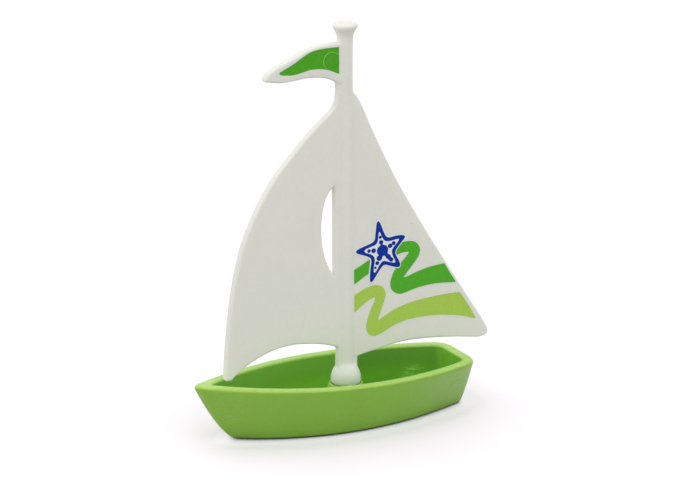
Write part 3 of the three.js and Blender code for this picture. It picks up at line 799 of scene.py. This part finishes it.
LIGHT_WAVE = [
    [[1.52, 27.08], [3.4, 28.0], [5.15, 28.53], [6.2, 28.65], [6.85, 28.6], [7.4, 28.45],
     [8.1, 28.05], [8.5, 27.6], [8.83, 26.97], [8.93, 26.5], [8.9, 25.75], [8.1, 23.5],
     [7.17, 21.05]],
    [[7.17, 21.05], [7.2, 20.86], [7.4, 20.86]],
    [[7.4, 20.86], [8.7, 21.52], [10.4, 22.28], [12.0, 22.88], [14.9, 23.48], [16.4, 23.72],
     [20.3, 24.0], [24.2, 24.05], [26.7, 23.95]],
    [[26.7, 23.95], [26.88, 23.9], [27.0, 23.75]],
    [[27.0, 23.75], [29.0, 20.8], [30.82, 17.66]],
    [[30.82, 17.66], [30.82, 17.5], [30.62, 17.48]],
    [[30.62, 17.48], [26.9, 18.72], [24.26, 19.26], [21.46, 19.69], [18.4, 19.93],
     [14.5, 19.83], [12.5, 19.52], [10.6, 18.97], [8.1, 17.85], [6.6, 17.48], [5.86, 17.55],
     [5.15, 17.9], [4.72, 18.35], [4.45, 19.0], [4.38, 19.8], [4.6, 21.1], [5.4, 23.2],
     [6.3, 25.1], [6.46, 25.7]],
    [[6.46, 25.7], [6.46, 25.95], [6.2, 25.99]],
    [[6.2, 25.99], [5.2, 25.68], [3.3, 24.57], [1.72, 23.45]],
    [[1.72, 23.45], [1.58, 23.42], [1.52, 23.6]],
    [[1.52, 23.6], [1.52, 27.08]],
]
STAR_OUTER = [
    [7.25, 42.49], [7.54, 42.17], [7.99, 41.2], [8.57, 39.76], [9.13, 38.85], [9.66, 38.63],
    [11.42, 38.74], [12.95, 38.66], [13.4, 38.45], [13.51, 38.15], [13.3, 37.8], [12.78, 37.24],
    [11.6, 35.95], [11.24, 35.25], [11.45, 34.4], [12.1, 33.2], [12.42, 32.35], [12.35, 32.02],
    [12.03, 31.82], [11.5, 31.85], [9.85, 32.42], [8.75, 32.78], [8.1, 32.5], [7.13, 31.33],
    [5.85, 29.62], [5.55, 29.47], [5.27, 29.68], [5.22, 30.4], [5.27, 31.8], [5.53, 33.82],
    [5.44, 34.57], [4.8, 35.08], [3.5, 35.68], [2.24, 36.19], [1.95, 36.58], [2.28, 36.97],
    [3.6, 37.42], [5.68, 38.01], [6.3, 38.5], [6.52, 39.8], [6.76, 41.83], [6.96, 42.38],
]
STAR_INNER = [
    [7.46, 40.12], [7.68, 39.85], [8.0, 39.1], [8.5, 38.3], [9.0, 37.93], [9.9, 37.83],
    [11.5, 37.98], [12.02, 37.96], [12.08, 37.75], [11.64, 37.12], [10.85, 36.35], [10.45, 35.6],
    [10.6, 34.6], [11.1, 33.6], [11.27, 33.1], [11.05, 32.93], [10.1, 33.12], [8.96, 33.55],
    [8.25, 33.6], [7.7, 33.15], [6.68, 31.68], [6.32, 31.4], [6.12, 31.62], [6.14, 32.6],
    [6.33, 34.2], [6.1, 34.97], [5.4, 35.55], [4.15, 36.1], [3.9, 36.45], [4.1, 36.78],
    [5.1, 37.1], [6.5, 37.5], [6.98, 38.05], [7.18, 39.3], [7.3, 40.0],
]
# Discs of ink inside the star: x, z, radius across, radius up.
STAR_DISCS = [
    [8.2, 36.0, 1.33, 1.22], [7.86, 37.84, 0.5, 0.46], [7.44, 34.43, 0.66, 0.6],
    [9.53, 34.49, 0.58, 0.52], [10.28, 33.66, 0.5, 0.44], [6.07, 36.25, 0.55, 0.5],
    [4.98, 36.34, 0.4, 0.38], [7.63, 38.95, 0.36, 0.34], [9.98, 36.74, 0.53, 0.49],
    [10.84, 37.2, 0.46, 0.43], [6.94, 33.4, 0.44, 0.42], [6.5, 32.45, 0.26, 0.28],
]
# Arms of ink from the middle disc: x, z of each end, half width.
STAR_ARMS = [
    [8.5, 35.6, 10.25, 33.7, 0.42], [8.0, 35.3, 7.44, 34.43, 0.5], [8.05, 37.0, 7.87, 37.8, 0.28],
]
SAIL_FACE = -SAIL_T / 2
PANEL_FACE = -(PENNANT_T / 2 - PANEL_DEPTH)
STAR_LIFT = 0.06  # carries the blue ink over the white
HALO_WIDTH, HALO_SHIFT = 0.24, [-0.04, 0.0]


def pin_witness(x, z):
    """The faint circle an ejector pin leaves in the panel: a soft ring about a shallow dip."""
    d = np.hypot(x - PIN_X, z - PIN_Z) - PIN_R
    return 0.05 * np.exp(-((d / 0.13) ** 2)) - 0.012 * (d < 0)


star_outer = loop(STAR_OUTER)
halo = grown(star_outer, HALO_WIDTH) + HALO_SHIFT
middle = merged([ellipse(*d) for d in STAR_DISCS] + [capsule(*c) for c in STAR_ARMS])
blue_shapes = [star_outer, loop(STAR_INNER)] + middle
star_blue = film("star_print_blue_ink", blue_shapes, SAIL_FACE - STAR_LIFT, gap=0.004, grid=0.6)
star_white = film("star_print_white_ink", [halo], SAIL_FACE, thick=0.048, gap=0.01)
wave_light = film("wave_print_light_ink", [closed(LIGHT_WAVE, 0.2)], SAIL_FACE)
wave_dark = film("wave_print_dark_ink", clipped(closed(DARK_WAVE, 0.2), halo), SAIL_FACE)
pennant_ink = film(
    "pennant_print_ink", [PANEL_OUTLINE], PANEL_FACE, grid=0.12, relief=pin_witness
)

# Object, the body it rides on, the frame pieces it replaces, material slot.
PARTS = [
    (hull, "hull", ["hull"], "hull_plastic"),
    (rig, "rig", ["mast", "jib", "mainsail", "pennant"], "rig_plastic"),
    (star_blue, "rig", ["star_print_blue", "star_print_middle"], "blue_ink"),
    (star_white, "rig", ["star_print_white"], "white_ink"),
    (wave_light, "rig", ["wave_print_light"], "light_green_ink"),
    (wave_dark, "rig", ["wave_print_dark", "wave_print_dark_fore"], "dark_green_ink"),
    (pennant_ink, "rig", ["pennant_print"], "green_ink"),
]
for part, body, _, _ in PARTS:
    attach(part, body)
for part, _, pieces, _ in PARTS:
    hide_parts(*pieces)


# ============================================================ node helpers

def srgb(*channels):
    def linear(c):
        c /= 255.0
        return c / 12.92 if c <= 0.04045 else ((c + 0.055) / 1.055) ** 2.4

    return tuple(linear(c) for c in channels) + (1.0,)


def scaled(colour, gain, lift=0.0):
    return tuple(min(1.0, c * gain + lift) for c in colour[:3]) + (1.0,)


class Graph:
    """Short ways to add nodes to a shader tree. Inputs may be sockets or plain values."""

    def __init__(self, tree):
        self.tree = tree

    def fill(self, node, values):
        for key, value in values.items():
            if isinstance(value, bpy.types.NodeSocket):
                self.tree.links.new(value, node.inputs[key])
            else:
                node.inputs[key].default_value = value

    def node(self, kind, **inputs):
        n = self.tree.nodes.new("ShaderNode" + kind)
        self.fill(n, inputs)
        return n

    def axes(self, vector):
        return self.node("SeparateXYZ", Vector=vector).outputs

    def math(self, operation, *values):
        n = self.node("Math")
        n.operation = operation
        self.fill(n, dict(enumerate(values)))
        return n.outputs[0]

    def chain(self, operation, first, *rest):
        for value in rest:
            first = self.math(operation, first, value)
        return first

    def times(self, *values):
        return self.chain("MULTIPLY", *values)

    def plus(self, *values):
        return self.chain("ADD", *values)

    def most(self, *values):
        return self.chain("MAXIMUM", *values)

    def minus(self, a, b):
        return self.math("SUBTRACT", a, b)

    def length(self, a, b):
        return self.math("SQRT", self.plus(self.times(a, a), self.times(b, b)))


class Surface(Graph):
    """A new material, with its textures in mm."""

    def __init__(self, name):
        self.mat = bpy.data.materials.new(name)
        self.mat.use_nodes = True
        super().__init__(self.mat.node_tree)
        coords = self.node("TexCoord").outputs["Object"]
        mapping = self.node("Mapping", Vector=coords, Scale=(1 / MM, 1 / MM, 1 / MM))
        self.co = mapping.outputs["Vector"]

    def principled(self, values):
        self.fill(self.tree.nodes["Principled BSDF"], values)

    def step(self, value, off, on):
        """A smooth step: 0 at off and 1 at on, whichever is the larger."""
        n = self.node("MapRange")
        n.interpolation_type = "SMOOTHSTEP"
        ends = (1.0, 0.0) if off > on else (0.0, 1.0)
        # inputs: value, from min, from max, to min, to max
        self.fill(n, dict(enumerate((value, min(off, on), max(off, on), *ends))))
        return n.outputs[0]

    def near(self, point, radius, soft=0.5):
        """1 close to a point, fading to 0 at radius mm; soft is the share at full strength."""
        n = self.node("VectorMath")
        n.operation = "DISTANCE"
        self.fill(n, {0: self.co, 1: point})
        return self.step(n.outputs["Value"], off=radius, on=radius * soft)

    def noise(self, scale, detail=3, rough=0.55, stretch=None, tilt=0.0, distortion=0.0):
        """Noise, which may be stretched along the axes and tilted about Y."""
        co = self.co
        if stretch:
            mapping = self.node("Mapping", Vector=co, Scale=stretch, Rotation=(0, tilt, 0))
            co = mapping.outputs["Vector"]
        return self.node(
            "TexNoise", Vector=co, Scale=scale, Detail=detail, Roughness=rough,
            Distortion=distortion,
        ).outputs["Fac"]

    def voronoi(self, scale):
        return self.node("TexVoronoi", Vector=self.co, Scale=scale).outputs["Distance"]

    def ramp(self, fac, start, end, first=0.0, last=1.0):
        """A grey ramp from first at start to last at end."""
        n = self.node("ValToRGB", Fac=fac)
        stops = ((start, first), (end, last))
        for element, (position, grey) in zip(n.color_ramp.elements, stops):
            element.position = position
            element.color = (grey, grey, grey, 1)
        return n.outputs["Color"]

    def mix(self, fac, a, b, mode="MIX"):
        n = self.node("Mix")
        n.data_type = "RGBA"
        n.blend_type = mode
        self.fill(n, {0: fac, 6: a, 7: b})  # factor and the two colours
        return n.outputs[2]

    def bump(self, height, depth_mm, strength, **normal):
        return self.node(
            "Bump", Strength=strength, Distance=depth_mm * MM, Height=height, **normal
        ).outputs["Normal"]

    def scratches(self, density, tilt, thin=0.012, scale=0.5):
        """Fine lines that run at an angle in the X-Z plane: 1 on a scratch, 0 elsewhere.
        A higher density value leaves fewer of them."""
        n = self.noise(
            scale, detail=2, rough=0.5, stretch=(1.0, 1.0, 22.0), tilt=tilt, distortion=0.3
        )
        line = self.math("LESS_THAN", self.math("ABSOLUTE", self.minus(n, 0.5)), thin)
        return self.times(line, self.ramp(self.noise(0.22, detail=2), density, density + 0.06))


# ============================================================ hull dirt and scuffs, painted shade and painted highlight

HALF_LENGTH, HALF_BEAM = 35, 12
# strength of the rim's paling: partly real rubbing, partly painted highlight
RIM_WEAR_AND_HIGHLIGHT = 0.75
# Specks of dirt on the side: point, radius.
DIRT = [
    ((13.52, -9.08, 4.71), 0.3), ((5.76, -9.68, 3.15), 0.28), ((-20.5, -6.9, 6.2), 0.16),
]


def hull_places(k):
    """Where a point of the hull lies: its axes and normal, and masks made from them."""
    x, y, z = k.axes(k.co)
    nx, ny, nz = k.axes(k.node("TexCoord").outputs["Normal"])
    rise = k.most(k.minus(k.times(x, -1.0), -RISE_X), 0.0)
    rim = k.plus(
        k.times(x, RIM_SLOPE), RIM_Z, k.times(x, x, RIM_CURVE), k.times(rise, rise, BOW_RISE)
    )
    below = k.minus(z, rim)
    rho = k.length(x, y)
    # positive where the surface looks outwards, negative where it looks towards the middle
    side = k.plus(k.times(nx, x, 1 / HALF_LENGTH**2), k.times(ny, y, 1 / HALF_BEAM**2))
    # inside: walls that look towards the middle, the floor, and the boss
    wall = k.step(side, off=-0.002, on=-0.02)
    ground = k.times(k.step(nz, off=0.3, on=0.6), k.step(z, off=7.0, on=6.0))
    inside = k.times(
        k.most(wall, ground, k.step(rho, off=5.6, on=4.6)),
        k.step(below, off=-0.12, on=-0.6),
        k.step(z, off=1.8, on=2.2),
    )
    outer = k.times(k.step(side, off=-0.002, on=0.004), k.step(below, off=-0.4, on=-1.2))
    return SimpleNamespace(
        x=x, z=z, nx=nx, nz=nz, below=below, rho=rho, side=side, inside=inside, outer=outer
    )


def painted_inside_shade(k, at, base):
    """Painted shade: the inside is darkened in colour, above all towards the stern and up the
    walls, to stand for the shade in the hollow.
    """
    aft = k.times(k.step(at.x, off=2.0, on=9.0), k.step(at.x, off=25.8, on=24.0))
    high = k.mix(aft, (0.60, 0.79, 0.48, 1.0), (0.39, 0.615, 0.06, 1.0))
    low = k.mix(aft, (0.75, 0.98, 0.50, 1.0), (0.51, 0.80, 0.1, 1.0))
    inside_shade = k.mix(k.step(at.z, off=8.0, on=4.5), high, low)
    inside_shade = k.mix(k.step(at.x, off=24.5, on=25.8), inside_shade, (0.72, 0.90, 0.62, 1.0))
    # painted shade: the inside's colour is multiplied by these tints
    return k.mix(at.inside, base, k.mix(1.0, base, inside_shade, "MULTIPLY"))


def painted_side_shade_and_paling(k, at, base):
    """Painted shade: the side is darker towards the bottom, with a painted contact shadow as a dark
    line at its foot. It is also paler in clouds towards the stern.
    """
    # painted shade, darker towards the bottom of the side
    low = k.times(k.step(at.z, off=5.5, on=0.2), at.outer, 0.04)
    base = k.mix(low, base, srgb(96, 146, 44))
    # painted shadow: a dark line where the side meets the floor
    foot = k.times(k.step(at.z, off=0.7, on=0.3), k.step(at.side, off=-0.002, on=0.004), 0.9)
    base = k.mix(foot, base, srgb(44, 68, 20))
    cloudy = k.ramp(k.noise(0.5, detail=4, rough=0.65), 0.25, 0.7, first=0.45)
    aft, up = k.step(at.x, off=2.0, on=26.0), k.step(at.z, off=0.2, on=5.5)
    return k.mix(k.times(aft, up, at.outer, cloudy, 0.7), base, srgb(174, 206, 132))


def edge_wear_and_highlight(k, at, base):
    """Paler patches on the rim, yellower where it rolls outwards, on the socket's lip and on the
    stem: partly real rubbing, partly painted highlight on the edges that catch the light.
    """
    patchy = k.ramp(k.noise(0.9, detail=5, rough=0.7), 0.3, 0.65, first=0.5)
    edge = k.step(at.below, off=-0.55, on=-0.2)
    lip = k.times(k.step(at.z, off=6.4, on=7.3), k.step(at.rho, off=4.6, on=4.4))
    stem = k.times(k.step(at.nx, off=-0.55, on=-0.8), k.step(at.x, off=-24.0, on=-27.0), 0.5)
    wear_and_highlight = k.times(k.most(edge, lip, stem), patchy, RIM_WEAR_AND_HIGHLIGHT)
    # painted highlight: the rim's top is painted paler than its outward roll
    over = k.times(k.step(at.nz, off=0.985, on=0.85), k.step(at.side, off=0.0, on=0.006))
    return k.mix(wear_and_highlight, base, k.mix(over, srgb(194, 232, 124), srgb(192, 222, 92)))


def rubbed_inside(k, at, base):
    """Rubbing streaks low on the inner walls and on the floor."""
    streak = k.noise(
        1.5, detail=5, rough=0.7, stretch=(0.3, 0.3, 2.6), tilt=0.22, distortion=0.4
    )
    streak = k.step(streak, off=0.47, on=0.56)
    patch = k.most(
        k.near((-3.2, 7.0, 3.0), 3.6),
        k.near((19.4, 5.9, 3.9), 3.4),
        k.times(k.near((-6.5, -1.5, FLOOR_Z), 5.5), 0.9),
        k.times(k.near((15.5, 1.5, FLOOR_Z), 5.0), 0.6),
    )
    return k.mix(k.times(streak, patch, at.inside, 0.9), base, srgb(156, 210, 100))


def scratched_side(k, at, base):
    """Slanting scratches at the bow and by the stern, and a knock at the transom's foot."""
    slant = k.noise(1.1, rough=0.6, stretch=(0.35, 1.0, 5.0), tilt=-0.75, distortion=0.3)
    slant = k.minus(k.step(slant, off=0.53, on=0.6), k.step(slant, off=0.42, on=0.36))
    bow = k.near((-28.5, -4.2, 7.5), 6.5, soft=0.3)
    stern = k.near((23.0, -7.0, 7.0), 6.0, soft=0.3)
    where = k.times(k.most(bow, stern), at.outer, 0.19)
    base = k.mix(k.times(k.most(slant, 0.0), where), base, srgb(186, 216, 128))
    dark = k.most(k.times(slant, -1.0), 0.0)
    base = k.mix(k.times(dark, where), base, srgb(84, 128, 36))
    knock = k.noise(2.2, rough=0.6, stretch=(1.0, 1.0, 0.5), tilt=0.6)
    foot = k.near((25.6, -3.6, 2.3), 1.5, soft=0.4)
    return k.mix(k.times(k.step(knock, off=0.45, on=0.55), foot, 0.55), base, srgb(72, 122, 34))


# real dirt, scuffs and scratches, layered with painted shade and painted highlight
def hull_wear_and_painted_light(k, base):
    at = hull_places(k)
    for layer in (painted_inside_shade, painted_side_shade_and_paling, edge_wear_and_highlight, rubbed_inside, scratched_side):
        base = layer(k, at, base)
    dirt = k.most(*[k.near(point, radius, soft=0.35) for point, radius in DIRT])
    return k.mix(k.times(dirt, 0.6), base, srgb(62, 92, 30))


# ============================================================ materials

def plastic(name, colour, low, high, rough, sss, sss_radius, speck, scuff, specular, wear_and_light=None):
    """Moulded plastic: faint mottling between low and high, fine grain, handling scratches,
    and a few dark specks."""
    k = Surface(name)
    base = k.mix(k.ramp(k.noise(0.09, rough=0.5), 0.3, 0.7), low, high)
    fine = k.noise(1.3, detail=4, rough=0.6)
    base = k.mix(0.5, base, k.mix(k.ramp(fine, 0.35, 0.65), low, high))
    spot = k.ramp(k.voronoi(0.16), speck * 0.55, speck, first=1.0, last=0.0)
    base = k.mix(k.times(spot, 0.55), base, scaled(colour, 0.38))
    # scuffs, a little paler than the plastic
    lines = k.most(k.scratches(0.5, 0.5), k.scratches(0.54, -0.9, thin=0.009, scale=0.7))
    base = k.mix(k.times(lines, scuff), base, scaled(colour, 1.25, lift=0.03))
    # for the hull these layers carry painted shade and painted highlight as well as real marks
    if wear_and_light:
        base = wear_and_light(k, base)
    uneven = k.times(k.noise(0.35, detail=4, rough=0.6), 0.16)
    grain = k.bump(k.noise(9.0, rough=0.6), depth_mm=0.006, strength=0.5)
    waves = k.noise(0.16, detail=2, rough=0.5)
    waves = k.bump(waves, depth_mm=0.10, strength=0.35, Normal=grain)
    k.principled({
        "Base Color": base,
        "Roughness": k.plus(uneven, rough - 0.08, k.times(lines, 0.12)),
        "Normal": k.bump(lines, depth_mm=-0.006, strength=0.6, Normal=waves),
        "Subsurface Weight": sss,
        "Subsurface Radius": sss_radius,
        "Subsurface Scale": 0.0012,
        "Specular IOR Level": specular,
    })
    return k.mat


def pin_ring_painted_light_and_shade(k, base):
    """Painted highlight and painted shade on the ring that the ejector pin left: paler on its
    upper-left arc, where it would catch the light, and darker just inside it.
    """
    x, _, z = k.axes(k.co)
    dx, dz = k.minus(x, PIN_X), k.minus(z, PIN_Z)
    off_ring = k.minus(k.length(dx, dz), PIN_R)
    ring = k.step(k.math("ABSOLUTE", off_ring), off=0.17, on=0.05)
    lit = k.step(k.minus(dz, dx), off=-1.2, on=1.6)
    base = k.mix(k.times(ring, lit, 0.75), base, srgb(150, 205, 110))
    # painted shade just inside the ring
    within = k.step(k.math("ABSOLUTE", k.plus(off_ring, 0.28)), off=0.2, on=0.05)
    return k.mix(k.times(within, 0.3), base, srgb(52, 128, 14))


def ink(name, colour, low, high, specular=0.22, marks=None):
    """A printed layer: slightly uneven cover, fine texture, a few pinholes."""
    k = Surface(name)
    base = k.mix(k.ramp(k.noise(2.4, detail=4, rough=0.65), 0.3, 0.7), low, high)
    pinhole = k.ramp(k.voronoi(0.5), 0.02, 0.04, first=1.0, last=0.0)
    base = k.mix(k.times(pinhole, 0.5), base, scaled(colour, 0.6, lift=0.3))
    if marks:
        base = marks(k, base)
    fine = k.bump(k.noise(6.0, rough=0.6), depth_mm=0.008, strength=0.5)
    k.principled({
        "Base Color": base,
        "Roughness": k.plus(k.times(k.noise(1.2), 0.15), 0.42 - 0.07),
        "Normal": k.bump(k.noise(0.5, detail=2), depth_mm=0.03, strength=0.3, Normal=fine),
        "Specular IOR Level": specular,
    })
    return k.mat


hull_mat = plastic(
    "hull_plastic", srgb(143, 196, 60), low=srgb(142, 194, 66), high=srgb(150, 202, 74),
    rough=0.40, sss=0.12, sss_radius=(0.6, 1.0, 0.3), speck=0.035, scuff=0.22, specular=0.43,
    wear_and_light=hull_wear_and_painted_light,
)
rig_mat = plastic(
    "rig_plastic", srgb(240, 240, 231), low=srgb(238, 238, 229), high=srgb(243, 243, 234),
    rough=0.42, sss=0.3, sss_radius=(1.0, 0.95, 0.85), speck=0.022, scuff=0.2, specular=0.55,
)
# Object, material, its colour, the low and high ends of its mottling, other settings.
INKS = [
    (star_blue, "blue_ink", (13, 54, 160), (10, 49, 152), (17, 60, 170), {"specular": 0.12}),
    (star_white, "white_ink", (246, 248, 250), (244, 246, 248), (249, 250, 252), {}),
    (wave_dark, "dark_green_ink", (84, 182, 40), (80, 177, 36), (90, 187, 46), {}),
    (wave_light, "light_green_ink", (182, 218, 90), (178, 214, 86), (186, 222, 96), {}),
    (pennant_ink, "pennant_green_ink", (78, 172, 26), (74, 167, 22), (84, 177, 32),
     {"marks": pin_ring_painted_light_and_shade}),
]
coats = [(hull, hull_mat), (rig, rig_mat)]
for part, name, *colours, settings in INKS:
    coats.append((part, ink(name, *[srgb(*c) for c in colours], **settings)))
for part, coat in coats:
    part.data.materials.clear()
    part.data.materials.append(coat)


# ============================================================ stage, light and camera

scene = bpy.context.scene
FLOOR_HALF, FLOOR_DROP = 3.0, 0.00003  # metres


def floor_paper():
    """Matt paper: white to the eye, with a modest bounce, so that the sides stay darker."""
    k = Surface("floor_paper")
    cloud = k.ramp(k.noise(0.02, detail=2), 0.3, 0.7)
    paper = k.mix(cloud, (1.0, 0.98, 1.0, 1.0), (0.985, 0.965, 0.985, 1.0))
    x, y, _ = k.axes(k.co)
    far = k.length(k.times(x, 1 / 48), k.times(y, 1 / 30))
    rays = k.node("LightPath").outputs
    # close under the hull the paper lies in the dark and gives almost nothing back
    occlusion = k.node("AmbientOcclusion", Distance=0.004)
    occlusion.samples = 6
    openness = occlusion.outputs["AO"]
    open_sky = k.step(openness, off=0.15, on=0.5)
    clear = k.step(openness, off=0.26, on=0.42)
    # the green light that the hull throws on the paper is all but cancelled by its own tint
    tinted = k.mix(1.0, paper, (1.0, 0.972, 1.0, 1.0), "MULTIPLY")
    paper = k.mix(k.times(k.step(far, off=1.15, on=0.6), clear), paper, tinted)
    bounce = k.mix(open_sky, (0.03, 0.03, 0.03, 1.0), (0.36, 0.36, 0.36, 1.0))
    gleam = k.mix(open_sky, (0.1, 0.1, 0.1, 1.0), (1.0, 1.0, 1.0, 1.0))
    unseen = k.mix(rays["Is Diffuse Ray"], gleam, bounce)
    # a faint glow for the camera only, stronger where the paper is shaded
    shade = k.times(k.step(openness, off=0.97, on=0.55), 0.17)
    glow = k.times(k.plus(shade, 0.065), clear)
    k.principled({
        "Base Color": k.mix(rays["Is Camera Ray"], unseen, paper),
        "Emission Color": (1.0, 0.93, 1.15, 1.0),
        "Emission Strength": k.times(rays["Is Camera Ray"], glow),
        "Roughness": 0.9,
        "Specular IOR Level": 0.0,
    })
    return k.mat


def build_floor():
    me = bpy.data.meshes.new("floor")
    s = FLOOR_HALF
    me.from_pydata([(-s, -s, 0), (s, -s, 0), (s, s, 0), (-s, s, 0)], [], [(0, 1, 2, 3)])
    floor = bpy.data.objects.new("floor", me)
    floor.location.z = -FLOOR_DROP
    scene.collection.objects.link(floor)
    me.materials.append(floor_paper())


# Strength of the tent, what it gains overhead and towards the bow, and as the camera sees it.
TENT, TENT_TOP, TENT_BOW, TENT_SEEN = 0.98, 0.10, 0.10, 1.1


def build_world():
    """A white light tent: even from every side, a little stronger at the bow and overhead."""
    world = bpy.data.worlds.new("studio")
    world.use_nodes = True
    k = Graph(world.node_tree)
    x, _, z = k.axes(k.node("TexCoord").outputs["Generated"])
    sky = k.plus(k.times(k.most(z, 0.0), TENT_TOP), TENT, k.times(x, -TENT_BOW))
    camera_ray = k.node("LightPath").outputs["Is Camera Ray"]
    k.fill(world.node_tree.nodes["Background"], {
        "Strength": k.most(sky, k.times(camera_ray, TENT_SEEN)),
        "Color": (1.0, 1.0, 1.0, 1.0),
    })
    scene.world = world


# The camera's axes and place.
CAMERA_RIGHT = Vector((0.8826290157251542, -0.47006533307893417, -0.0021455156574417614))
CAMERA_UP = Vector((0.14265526020951488, 0.26350536959497345, 0.9540515693237825))
CAMERA_AHEAD = Vector((0.4479012138123777, 0.8423796666776847, -0.299634777409752))
CAMERA_PLACE = Vector((-277.842, -524.532, 223.450))
SENSOR, FOCAL_LENGTH = 36.0, 154.285714


def build_camera():
    data = bpy.data.cameras.new("camera")
    data.sensor_width = SENSOR
    data.lens = FOCAL_LENGTH
    data.clip_start, data.clip_end = 0.01, 20
    camera = bpy.data.objects.new("camera", data)
    scene.collection.objects.link(camera)
    pose = Matrix((CAMERA_RIGHT, CAMERA_UP, -CAMERA_AHEAD)).transposed().to_4x4()
    pose.translation = CAMERA_PLACE * MM
    camera.matrix_world = pose
    scene.camera = camera


build_floor()
build_world()
build_camera()
scene.view_settings.view_transform = "Standard"
scene.view_settings.look = "None"
